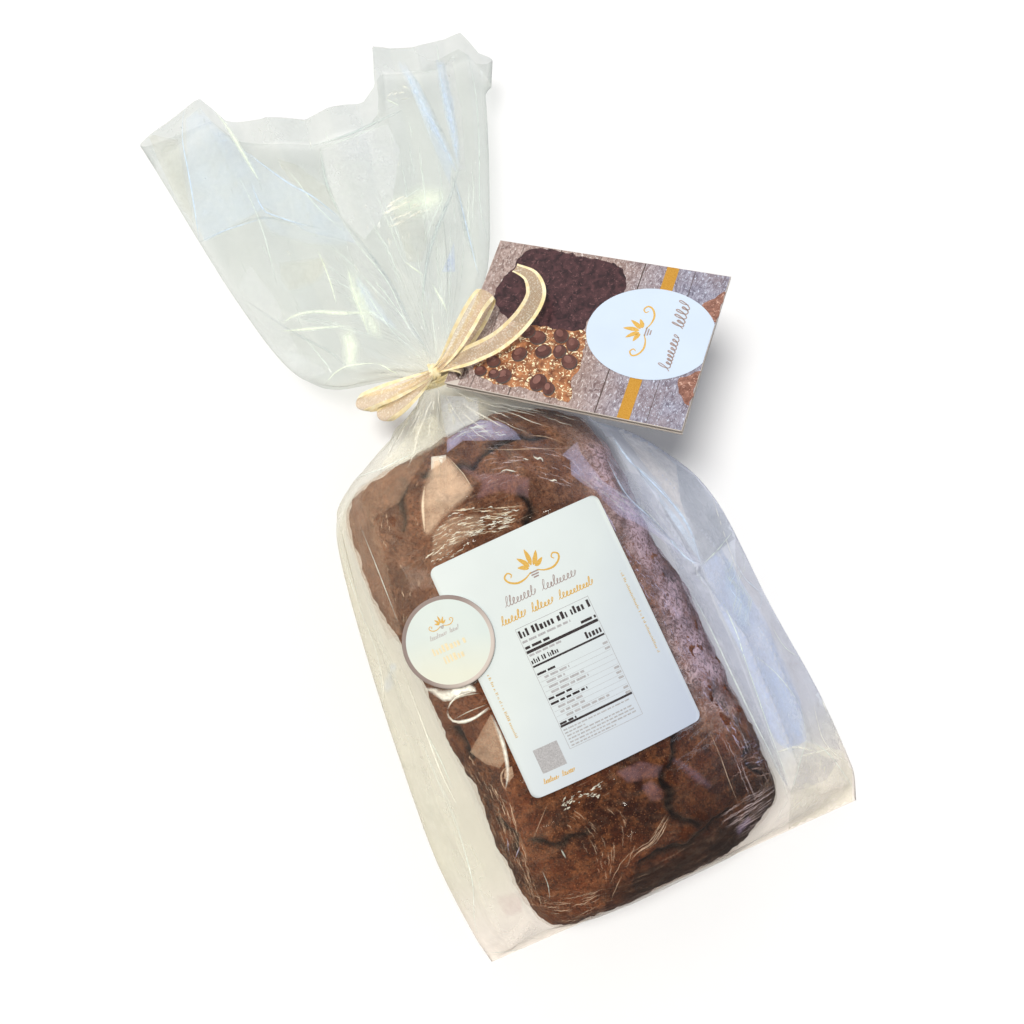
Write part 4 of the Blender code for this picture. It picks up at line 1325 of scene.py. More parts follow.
def loaf_shape(round_steps, rings_top, rings_side):
    """Rows of points of the smooth loaf, from the middle of its top down to its base."""
    outline = closed_curve(LOAF_OUTLINE, round_steps)
    middle = np.array(LOAF_MIDDLE)
    spokes = outline - middle
    reach = np.linalg.norm(spokes, axis=1)
    rows = []
    for k in np.linspace(0.02, 1.0, rings_top) ** 0.8:
        plan = middle + spokes * k
        x, y = plan[:, 0], plan[:, 1]
        edge = (1 - k) * reach
        fall = np.minimum(np.abs(x) / CROWN_HALF, 1) ** CROWN_POWER
        crown = LOAF_RIM + (LOAF_HEIGHT - LOAF_RIM) * (1 - fall)
        crown -= END_DROP * ease(END_DROP_FROM, END_DROP_TO, np.abs(y - LOAF_MIDDLE[1]))
        crown -= DOME_LEAN * x
        inward = np.clip(1 - edge / LOAF_ROUNDING, 0, 1)
        z = crown - LOAF_ROUNDING * (1 - np.sqrt(1 - inward ** 2 * 0.98))
        z = np.minimum(z, film_height(x, y) - FILM_ROOM)
        rows.append(np.stack((x, y, z), axis=1))
    rim = rows[-1]
    for k in np.linspace(0, 1, rings_side + 1)[1:]:
        tuck = LOAF_TAPER * k * rim[:, 2]
        foot = np.clip((k - FOOT_FROM) / (1 - FOOT_FROM), 0, 1)
        tuck = tuck + FOOT_IN * (1 - np.sqrt(1 - foot ** 2 * 0.99))
        plan = outline - spokes / reach[:, None] * tuck[:, None]
        z = rim[:, 2] * (1 - k) + FOOT_Z * k
        rows.append(np.stack((plan[:, 0], plan[:, 1], z), axis=1))
    return np.array(rows)


def loaf_relief(grid):
    """Crags and cracks of the crust: height at each point, and how deep in a crack it is."""
    flat = grid.reshape(-1, 3)
    relief = rough_noise(flat, 24.0, 1, 2) * 1.3
    relief += rough_noise(flat, 7.0, 2, 3) * 0.9
    relief += rough_noise(flat, 2.4, 3, 2) * 0.35
    relief = relief.reshape(grid.shape[:2])
    x, y = grid[:, :, 0], grid[:, :, 1]
    bend_x = np.array([noise.noise(Vector((a / 7, b / 7, 0.2))) for a, b, _ in flat]).reshape(x.shape) * 3
    bend_y = np.array([noise.noise(Vector((a / 7, b / 7, 7.2))) for a, b, _ in flat]).reshape(x.shape) * 3
    crack = np.zeros(x.shape)
    for path, depth, width in CRACKS:
        away = line_distance(path, x + bend_x, y + bend_y)
        relief -= depth * np.exp(-((away / width) ** 2))
        relief += 0.7 * np.exp(-(((away - 3.2 * width) / (1.6 * width)) ** 2))
        crack = np.maximum(crack, np.exp(-((away / (1.3 * width)) ** 2)))
    crack[RINGS_TOP:] = 0
    fade = np.ones(len(grid))
    fade[-4:] = (0.6, 0.4, 0.2, 0.0)
    return relief * fade[:, None] - 0.9, crack


def build_loaf():
    """The loaf with its cracked crust, under the cling film."""
    grid = loaf_shape(ROUND_STEPS, RINGS_TOP, RINGS_SIDE)
    normal = outward_normals(grid, RINGS_TOP // 2, 0)
    relief, crack = loaf_relief(grid)
    grid = grid + normal * relief[:, :, None]
    grid[:, :, 2] = np.clip(grid[:, :, 2], 0.7, film_height(grid[:, :, 0], grid[:, :, 1]) - 1.4)
    faces = capped_faces(*grid.shape[:2])
    x, y = grid[:, :, 0], grid[:, :, 1]
    # Painted shade: the near end face and the right of that end are darkened, as if turned from the light.
    end_face = 1 - ease(-101, -93, y + 0.02 * x + 3 * noise_like(x))
    shade = 0.85 * end_face * ease(-34, -12, x) + 0.5 * ease(-20, 20, x) * (1 - ease(-86, -56, y))
    made = mesh_piece(
        "loaf_crust", grid.reshape(-1, 3), faces, [crust_material()],
        values={"crack": crack, "shade": np.clip(shade, 0, 0.85)},
    )


# Pixels of the photograph: folds of the cling film, drawn by themselves, partly whitening and partly
# painted glints
CLING_FOLDS = (
    ("cream", 1.0, 0.9, ((448, 708), (451, 702), (461, 696), (479, 693))),
    ("cream", 1.4, 1.0, ((448, 710), (450, 717), (457, 722), (468, 721), (483, 713), (490, 708))),
    ("cream", 0.5, 0.8, ((455, 719), (470, 711), (488, 704))),
    ("tan", 0.9, 0.7, ((491, 715), (500, 741), (508, 758), (509, 768))),
    ("tan", 1.2, 0.8, ((509, 766), (502, 772), (502, 782), (507, 791))),
    ("cream", 0.4, 0.6, ((495, 722), (502, 742), (507, 757))),
    ("cream", 1.2, 1.2, ((533, 456), (537, 459), (541, 458), (543, 462))),
    ("cream", 0.8, 1.2, ((500, 473), (505, 470), (511, 471), (517, 472))),
    ("cream", 0.9, 1.2, ((549, 480), (552, 481), (555, 480), (557, 482))),
    ("cream", 0.7, 1.1, ((523, 459), (525, 459), (527, 460), (529, 460))),
    ("lilac", 0.7, 0.8, ((508, 838), (509, 852))),
    ("lilac", 0.7, 0.8, ((520, 846), (516, 858))),
    ("tan", 0.6, 0.7, ((709, 731), (720, 757), (729, 782), (738, 804))),
    ("tan", 0.7, 0.6, ((480, 449), (505, 450), (535, 449), (567, 449))),
    ("tan", 0.7, 0.6, ((526, 436), (545, 437), (564, 444))),
    ("tan", 0.4, 0.6, ((548, 803), (540, 822), (533, 840))),
    ("white", 0.9, 0.9, ((561, 849), (566, 858))),
    ("white", 0.5, 0.8, ((542, 870), (548, 884), (550, 899))),
)

ABOVE_LABEL = (
    ((439, 513), (467, 507), (487, 507), (524, 506)),
    ((424, 562), (442, 550), (467, 540), (514, 528)),
)

# Pixels of the photograph: tone, width, strength, number, shortest and longest share, and
# the two lines between which a bundle of the cling film's folds runs, partly whitening, partly painted
# glints
CLING_BUNDLES = (
    ("straw", 0.45, 0.9, 60, 0.06, 0.22, *ABOVE_LABEL),
    ("cream", 0.45, 1.6, 70, 0.03, 0.13, *ABOVE_LABEL),
    ("cream", 0.40, 1.3, 44, 0.05, 0.20,
        ((433, 536), (447, 524), (468, 518)),
        ((428, 570), (446, 560), (474, 545)),
    ),
    ("lilac", 0.50, 0.70, 110, 0.01, 0.05,
        ((600, 500), (632, 556), (668, 580), (692, 630), (727, 690), (754, 735)),
        ((603, 510), (618, 552), (650, 600), (678, 650), (708, 700), (742, 752)),
    ),
    ("pink", 0.55, 0.7, 46, 0.12, 0.60,
        ((713, 816), (734, 802), (757, 790), (778, 779)),
        ((729, 846), (750, 833), (770, 816), (781, 799)),
    ),
    ("pink", 0.5, 0.5, 30, 0.10, 0.40,
        ((752, 714), (764, 740), (774, 765), (784, 790)),
        ((716, 730), (730, 758), (740, 784), (750, 806)),
    ),
    ("lilac", 0.6, 0.5, 26, 0.05, 0.25,
        ((736, 742), (752, 734), (766, 728)),
        ((742, 774), (760, 766), (778, 758)),
    ),
    ("dusk", 0.55, 0.6, 18, 0.10, 0.40,
        ((735, 762), (752, 752), (770, 760)),
        ((728, 790), (748, 782), (772, 775)),
    ),
    ("tan", 0.45, 0.80, 12, 0.12, 0.45,
        ((673, 811), (658, 840), (637, 856), (623, 880), (610, 911)),
        ((667, 812), (649, 840), (629, 853), (615, 872), (603, 900)),
    ),
    ("tan", 0.50, 0.75, 34, 0.06, 0.28,
        ((479, 795), (493, 830), (508, 862), (524, 897)),
        ((511, 797), (520, 830), (530, 860), (546, 913)),
    ),
    ("tan", 0.50, 0.75, 34, 0.06, 0.28,
        ((522, 890), (545, 893), (572, 893), (600, 885)),
        ((536, 914), (555, 921), (580, 919), (610, 904)),
    ),
    ("cream", 0.45, 1.3, 44, 0.03, 0.09,
        ((560, 804), (570, 793), (590, 788), (603, 780)),
        ((564, 812), (577, 803), (596, 800), (604, 793)),
    ),
    ("tan", 0.60, 0.80, 27, 0.02, 0.06,
        ((352, 500), (352, 545), (372, 600), (396, 640)),
        ((420, 470), (418, 540), (420, 580), (412, 612)),
    ),
    ("tan", 0.60, 0.80, 50, 0.03, 0.12,
        ((440, 722), (470, 775), (490, 822), (510, 870)),
        ((500, 790), (512, 812), (522, 850), (536, 890)),
    ),
    ("tan", 0.52, 0.56, 32, 0.05, 0.20,
        ((545, 812), (580, 840), (600, 880)),
        ((620, 800), (640, 830), (620, 880)),
    ),
    ("pink", 0.52, 0.64, 37, 0.05, 0.20,
        ((470, 440), (520, 445), (566, 455), (590, 480)),
        ((480, 500), (520, 480), (560, 490), (580, 495)),
    ),
)


CLING_WARM = srgb(226, 190, 160)
# Painted reflection: the lilac of the cool sheen on the film's right side.
CLING_COOL = srgb(212, 184, 194)
CLING_ROUND_STEPS = 480
CLING_RINGS_TOP = 84
CLING_RINGS_SIDE = 20


def cling_relief(flat, around, down):
    """How far the cling film stands off the smooth loaf, with its gathers and stretch marks."""
    relief = rough_noise(flat, 24.0, 1, 2) * 1.1 + 0.15
    gather = np.zeros((down.size, around.size))
    for r in range(down.size):
        for c in range(around.size):
            turn = around[0, c] * 2 * math.pi
            spot = Vector((math.cos(turn) * 16, math.sin(turn) * 16, down[r, 0] * 1.5))
            gather[r, c] = noise.noise(spot)
    pull = ease(0.72, 1.0, down) * 0.9
    streak = [((b * 0.98 - a * 0.2) / 1.7, (a + b * 0.2) / 22, c / 22) for a, b, c in flat]
    streak = np.array([noise.noise(Vector(spot)) for spot in streak]).reshape(gather.shape)
    return relief.reshape(gather.shape) + gather * pull + streak * 0.28


def cling_looks(grid, relief, around, down):
    """Haze, fine lines and tint of the cling film at each point."""
    x, y = grid[:, :, 0], grid[:, :, 1]
    patchy = rough_noise(grid.reshape(-1, 3), 13.0, 5, 3).reshape(x.shape)
    right = ease(30, 48, x) * ease(-74, -34, y) * (1 - 0.7 * ease(62, 82, y))
    haze = 0.004 + crease_share(relief, 0.15, 0.06)
    # Painted reflection: on the right the film gets milky lilac haze, standing in for its cool sheen there.
    haze += right * np.clip(patchy * 0.55 + 0.40, 0.14, 0.62)
    haze += 0.07 * ease(10, 40, -x) * ease(20, 70, y)
    corner = ease(35, 58, np.abs(x)) * ease(60, 92, np.abs(y - LOAF_MIDDLE[1]))
    low_end = 1 - ease(-98, -80, y)
    rim = ease(0.66, 0.86, down) * (1 - ease(1.05, 1.2, down))
    rim_lines = rim * np.clip(0.30 * right + 0.5 * corner + 0.25 * low_end, 0, 0.5)
    spoke_lines = rim * np.clip(0.10 + 0.25 * corner + 0.15 * ease(20, 50, -x), 0, 0.4)
    upper_patch = ease(0, 10, 24 - np.hypot((x + 12) * 0.8, y - 58))
    lower_patch = ease(0, 8, 16 - np.hypot(x + 12, y + 60))
    top_lines = 0.5 * (0.55 * upper_patch + 0.35 * lower_patch) + 0.03
    span = np.linalg.norm(np.diff(grid, axis=0, prepend=grid[:1]), axis=2)
    around_mm = np.broadcast_to(around * 560, x.shape)
    draw = np.stack((around_mm, np.cumsum(span, axis=0), np.zeros_like(x)), axis=2)
    cool = right[:, :, None]
    tint = np.array(CLING_WARM) * (1 - cool) + np.array(CLING_COOL) * cool
    values = {"haze": haze, "rim_lines": rim_lines, "spoke_lines": spoke_lines, "top_lines": top_lines}
    return values, tint, draw


def build_cling():
    """Thin film drawn tight over the loaf, gathered at its corners."""
    grid = loaf_shape(CLING_ROUND_STEPS, CLING_RINGS_TOP, CLING_RINGS_SIDE)
    normal = outward_normals(grid, CLING_RINGS_TOP // 2, 0)
    around = np.arange(CLING_ROUND_STEPS)[None, :] / CLING_ROUND_STEPS
    down = np.arange(CLING_RINGS_TOP + CLING_RINGS_SIDE)[:, None] / CLING_RINGS_TOP
    relief = cling_relief(grid.reshape(-1, 3), around, down)
    grid = grid + normal * relief[:, :, None]
    grid[:, :, 2] = np.clip(grid[:, :, 2], 0.5, film_height(grid[:, :, 0], grid[:, :, 1]) - 0.9)
    values, tint, draw = cling_looks(grid, relief, around, down)
    faces = capped_faces(*grid.shape[:2])
    film = film_material(
        "cling_film", dye=0.06, gloss=0.07, head_on=0.04, grazing=CLING_SHINE, ripple=0.15, streaks=True
    )
    made = mesh_piece(
        "cling_film", grid.reshape(-1, 3), faces, [film],
        values=values, colours={"tint": tint}, vectors={"draw": draw},
    )
    cling_runs = [(TONES[tone], wide, strong, pixel_line(line)) for tone, wide, strong, line in CLING_FOLDS]
    cling_runs += bundled(CLING_BUNDLES, 31)
    lay_folds("cling_fold_highlights", BVHTree.FromPolygons(grid.reshape(-1, 3).tolist(), faces), cling_runs)


# Printed paper


# One stroke of handwriting: share of its width and of its height
LOOP = ((0.0, 0.0), (0.5, 0.35), (0.72, 0.85), (0.45, 1.0), (0.3, 0.6), (0.5, 0.12))


class Sheet:
    """Points and faces of a sheet and its print, laid on a surface."""

    def __init__(self, lay):
        self.lay = lay
        self.points = []
        self.faces = []
        self.marks = []

    def quads(self, grid, mark, lift):
        """A grid of plan points, as quads at a height above the sheet's upper face."""
        rows, columns = len(grid), len(grid[0])
        start = len(self.points)
        for row in grid:
            for a, b in row:
                self.points.append(self.lay(a, b, lift))
        for face in grid_faces(rows, columns, False):
            self.faces.append(tuple(start + i for i in face))
            self.marks.append(mark)

    def bar(self, low_x, high_x, low_y, high_y, mark, lift=INK_LIFT, step=2.0):
        """A filled rectangle."""
        xs = np.linspace(low_x, high_x, max(int((high_x - low_x) / step) + 2, 2))
        ys = np.linspace(low_y, high_y, max(int((high_y - low_y) / step) + 2, 2))
        self.quads([[(x, y) for x in xs] for y in ys], mark, lift)

    def stroke(self, path, widths, mark, lift=INK_LIFT, steps=6):
        """A line through key points whose width follows a list."""
        keys = [Vector((a, b, 0)) for a, b in path]
        run = smooth_path(keys, steps)
        sides = [[], []]
        for n, (point, share) in enumerate(run):
            ahead = run[min(n + 1, len(run) - 1)][0] - run[max(n - 1, 0)][0]
            normal = Vector((-ahead.y, ahead.x, 0)).normalized()
            half = float(np.interp(share * (len(widths) - 1), range(len(widths)), widths)) / 2
            sides[0].append((point.x + normal.x * half, point.y + normal.y * half))
            sides[1].append((point.x - normal.x * half, point.y - normal.y * half))
        self.quads(sides, mark, lift)

    def words(self, low_x, high_x, y, height, mark, seed, lift=INK_LIFT):
        """A row of short bars where a line of small print would be."""
        rng = random.Random(seed)
        x = low_x
        while x < high_x - height * 0.4:
            wide = min(rng.uniform(1.6, 4.6) * height, high_x - x)
            self.bar(x, x + wide, y - height / 2, y + height / 2, mark, lift)
            x += wide + height * 0.8

    def wave(self, low_x, high_x, y, height, wide, mark, seed, lift=INK_LIFT):
        """Rows of slanting loops and gaps where a line of handwriting would be."""
        rng = random.Random(seed)
        x = low_x
        while x < high_x - height:
            end = x + rng.uniform(2.2, 3.8) * height
            if end > high_x - 1.6 * height:
                end = high_x
            tall = 1.0
            path = []
            while x < end:
                step = height * rng.uniform(0.30, 0.48)
                for across, up in LOOP:
                    lean = 0.28 * up * tall * height
                    path.append((x + across * step + lean, y + (up * tall - 0.35) * height))
                x += step
                tall = rng.choice((0.42, 0.5, 0.58, 0.62, 0.98))
            self.stroke(path, (wide * 0.6, wide, wide * 0.8, wide, wide * 0.6), mark, lift, 4)
            x += height * 0.6

    def blocks(self, low_x, high_x, y, height, mark, seed, lift=INK_LIFT):
        """A row of narrow upright bars where a line of bold print would be."""
        rng = random.Random(seed)
        x = low_x
        while x < high_x:
            wide = min(rng.uniform(0.2, 0.42) * height, high_x - x)
            tall = height * rng.choice((0.72, 0.72, 1.0))
            self.bar(x, x + wide, y - height / 2, y - height / 2 + tall, mark, lift)
            x += wide + height * rng.choice((0.2, 0.2, 0.22, 0.55))

    def made(self, name, materials, smooth=True):
        """The finished piece."""
        return mesh_piece(name, self.points, self.faces, materials, marks=self.marks, smooth=smooth)


def smooth_path(keys, steps):
    """Points on a smooth curve through key points, with the share of the way to each."""
    points = []
    last = len(keys) - 1
    for i in range(last):
        p0 = keys[max(i - 1, 0)]
        p1 = keys[i]
        p2 = keys[i + 1]
        p3 = keys[min(i + 2, last)]
        for j in range(steps):
            t = j / steps
            points.append((on_curve(p0, p1, p2, p3, t), (i + t) / last))
    points.append((keys[-1], 1.0))
    return points


def paper_body(sheet, columns, thick):
    """The sheet itself: upper face, lower face and edges, from columns of plan points."""
    rows = len(columns[0])
    count = len(columns)
    start = len(sheet.points)
    for lift in (0.0, -thick):
        for column in columns:
            for a, b in column:
                sheet.points.append(sheet.lay(a, b, lift))
    under = count * rows
    for c in range(count - 1):
        for r in range(rows - 1):
            i = start + c * rows + r
            sheet.faces.append((i, i + rows, i + rows + 1, i + 1))
            sheet.faces.append((i + under, i + under + 1, i + under + rows + 1, i + under + rows))
    for c in range(count - 1):
        for r in (0, rows - 1):
            i = start + c * rows + r
            sheet.faces.append((i, i + under, i + under + rows, i + rows))
    for c in (0, count - 1):
        for r in range(rows - 1):
            i = start + c * rows + r
            sheet.faces.append((i, i + 1, i + under + 1, i + under))
    sheet.marks += [PAPER] * (len(sheet.faces) - len(sheet.marks))


# Sprig: turn in degrees and length of each leaf, and the path of a curl under it
LEAVES = ((0, 9.0), (34, 8.0), (-34, 8.0), (64, 6.4), (-64, 6.4))
CURL = (
    (1.4, -1.0), (4.6, -2.6), (8.4, -2.9), (11.6, -1.2), (12.6, 1.2), (10.8, 2.6), (9.4, 1.4),
    (10.2, 0.2),
)


def sprig(sheet, x, y, size, gold, taupe):
    """A small sprig of leaves over two curls."""
    for turn, long in LEAVES:
        a = math.radians(90 + turn)
        dx, dy = math.cos(a), math.sin(a)
        reach = long * size
        tip = (x + dx * reach, y + dy * reach)
        mid = (x + dx * reach * 0.55 + dy * 0.3 * size, y + dy * reach * 0.55 - dx * 0.3 * size)
        root = (x + dx * 1.6 * size, y + dy * 1.6 * size)
        sheet.stroke((root, mid, tip), (0.25 * size, 1.7 * size, 2.1 * size, 1.4 * size, 0.1), gold)
    for side in (-1, 1):
        path = [(x + side * a * size, y + b * size) for a, b in CURL]
        sheet.stroke(path, (0.3, 0.9 * size, 0.8 * size, 0.6 * size, 0.35), gold)
    for k in range(3):
        half = (2.2 - 0.5 * k) * size
        low = y - (1.2 + 1.1 * k) * size
        sheet.bar(x - half, x + half, low - 0.5 * size, low + 0.1 * size, taupe)


# Marks of the inks, in the order of each sheet's materials
PAPER, GOLD, TAUPE, BLACK, GREY, PALE = range(6)
SILVER, PALE_GOLD, THIN_TAUPE = 5, 6, 7

# Label print, from the label's middle: left and right end, height on the label, own height,
# line width of a wave, ink and seed. A bar has its low and high edge instead
LABEL_HEAD = (
    ("wave", -16.0, 15.0, 25.2, 4.0, 0.34, TAUPE, 5),
    ("wave", -20.5, 19.6, 18.9, 3.6, 0.42, GOLD, 9),
    ("bar", -16.4, 16.2, -38.0, -37.82, GREY),
    ("bar", -16.4, 16.2, 14.02, 14.2, GREY),
    ("bar", -16.4, -16.22, -37.82, 14.02, GREY),
    ("bar", 16.02, 16.2, -37.82, 14.02, GREY),
    ("blocks", -15.8, 15.6, 11.5, 3.1, BLACK, 12),
    ("words", -15.8, 5.4, 8.2, 0.9, GREY, 13),
    ("words", -15.8, -5.1, 5.6, 1.1, BLACK, 14),
    ("words", 9.0, 15.7, 5.6, 1.1, BLACK, 15),
    ("bar", -16.0, 15.8, 3.2, 4.4, BLACK),
    ("words", -15.5, -1.1, 2.3, 0.8, GREY, 16),
    ("blocks", -15.8, -4.0, -0.3, 2.0, BLACK, 17),
    ("blocks", 8.4, 15.3, 0.1, 2.7, BLACK, 19),
    ("bar", -16.0, 15.8, -2.8, -2.0, BLACK),
)

# Rows of the small table: left and right end, ink, and whether a short bar ends the row
TABLE_TOP = -5.8
TABLE_STEP = 2.16
TABLE_ROWS = (
    (-15.8, -7.1, BLACK, True),
    (-13.6, -2.7, GREY, True),
    (-13.6, -5.6, GREY, False),
    (-13.6, 1.9, GREY, False),
    (-13.6, 2.9, GREY, False),
    (-15.8, -5.6, BLACK, True),
    (-15.8, 0.3, BLACK, True),
    (-13.6, -2.9, GREY, True),
    (-13.6, -2.1, GREY, False),
    (-11.9, 7.1, GREY, True),
    (-15.8, -8.6, BLACK, True),
)
FOOT_TOP = -30.2
FOOT_STEP = 1.35
FOOT_ROWS = ((-15.6, 13.6), (-15.6, -6.7), (-15.2, 14.0), (-15.2, 13.9), (-15.2, 14.1), (-15.2, 4.5))
GREY_SQUARE = (-30.2, -19.8, -42.6, -32.5)

# Lines of small marks that run up the label's sides: x, low and high end and seed
SIDE_LINES = ((33.2, -18.8, 17.8, 60), (-33.7, -25.2, 2.5, 61))


CORNER_STEPS = 6
LABEL_STEPS_UP = 44
LABEL_STEPS_OVER = 40


def label_columns():
    """Plan points of the rectangular label with its round corners, column by column."""
    rows = []
    straight_run = LABEL_H - 2 * LABEL_CORNER
    for i in range(CORNER_STEPS + 1):
        turn = math.pi / 2 * i / CORNER_STEPS
        rows.append((-HALF_H + LABEL_CORNER * (1 - math.cos(turn)), LABEL_CORNER * (1 - math.sin(turn))))
    for i in range(1, LABEL_STEPS_UP):
        rows.append((-HALF_H + LABEL_CORNER + straight_run * i / LABEL_STEPS_UP, 0.0))
    rows += [(-y, inset) for y, inset in reversed(rows[:CORNER_STEPS + 1])]
    columns = []
    for c in range(LABEL_STEPS_OVER + 1):
        share = 2 * c / LABEL_STEPS_OVER - 1
        columns.append([(share * (HALF_W - inset), y) for y, inset in rows])
    return columns


def print_label(sheet):
    """The label's generic print: sprig, handwriting, small table and side lines."""
    sprig(sheet, 0.5, 33.5, 0.95, GOLD, TAUPE)
    draw = {"wave": sheet.wave, "blocks": sheet.blocks, "words": sheet.words, "bar": sheet.bar}
    for kind, *values in LABEL_HEAD:
        draw[kind](*values)
    for n, (low, high, ink, with_end) in enumerate(TABLE_ROWS):
        y = TABLE_TOP - TABLE_STEP * n
        sheet.words(low, high, y, 0.9, ink, 20 + n)
        if with_end:
            sheet.bar(13.4, 15.6, y - 0.5, y + 0.4, GREY)
        if n < len(TABLE_ROWS) - 1:
            sheet.bar(-15.8, 15.6, y - 1.2, y - 1.1, GREY)
    sheet.bar(-16.0, 15.8, -28.9, -28.0, BLACK)
    for n, (low, high) in enumerate(FOOT_ROWS):
        sheet.words(low, high, FOOT_TOP - FOOT_STEP * n, 0.55, GREY, 40 + n)
    sheet.bar(*GREY_SQUARE, GREY)
    sheet.wave(-31.6, -18.4, -45.8, 2.0, 0.3, GOLD, 50)
    for x, low, high, seed in SIDE_LINES:
        rng = random.Random(seed)
        y = low
        while y < high:
            long = min(rng.uniform(0.3, 0.9), high - y)
            tall = rng.choice((0.7, 0.7, 1.1))
            sheet.bar(x - 0.5, x - 0.5 + tall, y, y + 0.6 * long, PALE)
            y += 0.6 * long + rng.choice((0.3, 0.3, 0.3, 0.9))


def build_label():
    """The rectangular label, as paper that follows the film."""
    sheet = Sheet(lambda x, y, lift: (x, y, dome_at(x, y) + PAPER_TOP + lift))
    paper_body(sheet, label_columns(), PAPER_THICK)
    print_label(sheet)
    # Painted shade: the paper turns bluish grey towards its lower right, where the label tilts away from
    # the light.
    fade = ((0.62, -0.78, 0.0), -8.0, 64.0, srgb(186, 194, 210))
    paper = paper_material("label_paper", srgb(217, 224, 221), 0.42, fade=fade)
    side_ink = ink_material("ink_side", srgb(198, 164, 100), srgb(210, 184, 130))
    made = sheet.made("label_sheet", [paper] + print_inks() + [side_ink])
    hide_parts("label")


def print_inks():
    """The inks that every printed sheet has, in the order of their marks."""
    return [
        ink_material("ink_gold", srgb(206, 160, 72), srgb(220, 180, 98)),
        ink_material("ink_taupe", srgb(150, 130, 124), srgb(168, 150, 144)),
        ink_material("ink_black", srgb(44, 38, 38), srgb(70, 62, 62)),
        ink_material("ink_grey", srgb(158, 156, 156), srgb(186, 184, 184)),
    ]


# Shares of the round label's radius at which its rings lie, and where its silver rim begins
ROUND_RINGS = (0.0, 0.15, 0.3, 0.45, 0.6, 0.72, 0.8, 0.86, 0.91, 0.96, 1.0)
SILVER_SHARE = 0.91


def round_place(x, y, lift):
    """A place on the round label, which climbs from the film onto the other label."""
    step_from = ROUND_AT[0]
    step_to = -HALF_W - 1.0
    climb = min(max((x - step_from) / (step_to - step_from), 0.0), 1.0)
    spread = float(curve(SPREAD, np.array([y]))[0])
    inner = min(max(x, -spread), 0.0)
    outside = min(x + spread, 0.0)
    level = dome_at(inner, y)
    drop = 0.35 * outside * outside / (2.0 - outside)
    return (x, y, level - drop + 0.95 + 0.9 * climb + lift)


def round_body(sheet):
    """The round label itself: upper face with its silver rim, lower face and edge."""
    radius = ROUND_D / 2
    count = 72
    rings = [r * radius for r in ROUND_RINGS]
    silver_from = ROUND_RINGS.index(SILVER_SHARE)
    start = len(sheet.points)
    for r in rings[1:]:
        for i in range(count):
            a = 2 * math.pi * i / count
            place = (ROUND_AT[0] + r * math.cos(a), ROUND_AT[1] + r * math.sin(a))
            sheet.points.append(sheet.lay(*place, 0.0))
    sheet.points.append(sheet.lay(*ROUND_AT, 0.0))
    middle = len(sheet.points) - 1
    for i in range(count):
        j = (i + 1) % count
        sheet.faces.append((middle, start + i, start + j))
        sheet.marks.append(PAPER)
    for n in range(len(rings) - 2):
        for i in range(count):
            j = (i + 1) % count
            a, b = start + n * count, start + (n + 1) * count
            sheet.faces.append((a + i, b + i, b + j, a + j))
            sheet.marks.append(SILVER if n + 1 >= silver_from else PAPER)
    rim = start + (len(rings) - 2) * count
    low = len(sheet.points)
    under = low - start
    for x, y, z in sheet.points[start:low]:
        sheet.points.append((x, y, z - PAPER_THICK))
    for face in sheet.faces[:]:
        sheet.faces.append(tuple(under + n for n in reversed(face)))
    for i in range(count):
        j = (i + 1) % count
        sheet.faces.append((rim + i, rim + under + i, rim + under + j, rim + j))
    sheet.marks += [PAPER] * (len(sheet.faces) - len(sheet.marks))


def print_round_label(sheet):
    """The round label's generic print: sprig, handwriting and two lines of bold print."""
    x, y = ROUND_AT
    sprig(sheet, x + 0.5, y + 7.5, 0.42, GOLD, TAUPE)
    sheet.wave(x - 6.4, x + 6.2, y + 3.8, 1.9, 0.2, THIN_TAUPE, 70)
    sheet.blocks(x - 7.4, x + 7.0, y - 1.6, 3.0, PALE_GOLD, 71)
    sheet.blocks(x - 4.4, x + 4.4, y - 6.4, 3.0, PALE_GOLD, 72)


def light_ramp_over_round(direction, near, far, second):
    """A ramp of painted light to a second colour, between two distances from the round label's middle."""
    middle = float(np.dot(ROUND_AT, direction[:2]))
    return (direction, middle + near, middle + far, second)


def build_round_label():
    """The round label with its silver rim, laid from the film up onto the other label."""
    sheet = Sheet(round_place)
    round_body(sheet)
    print_round_label(sheet)
    # Painted highlight: the paper takes a warm cream towards its lower edge, by the film's glare.
    fade = light_ramp_over_round((-0.35, -1.0, 0.0), -3.0, 14.0, srgb(220, 222, 206))
    paper = paper_material("round_paper", srgb(212, 221, 216), 0.35, fade=fade)
    # Painted reflection: the silver rim turns lighter towards its lower right.
    bright = light_ramp_over_round((0.7, -0.7, 0.0), -2.0, 15.0, srgb(206, 194, 184))
    silver = paper_material("ink_silver", srgb(146, 130, 124), 0.35, 0.1, bright)
    pale = ink_material("ink_pale_gold", srgb(226, 208, 166), srgb(232, 220, 186))
    thin = ink_material("ink_thin_taupe", srgb(176, 164, 160), srgb(190, 180, 176))
    made = sheet.made("round_label_sheet", [paper] + print_inks() + [silver, pale, thin])
    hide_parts("round_label")


# Card


def card_axes():
    """Unit directions along the card, across it and out of its face."""
    along_edge = CARD_ALONG.normalized()
    across = CARD_ACROSS - along_edge * CARD_ACROSS.dot(along_edge)
    across.normalize()
    return along_edge, across, along_edge.cross(across)


PRINT_COAT = {"Coat Weight": 0.2, "Coat Roughness": 0.2}


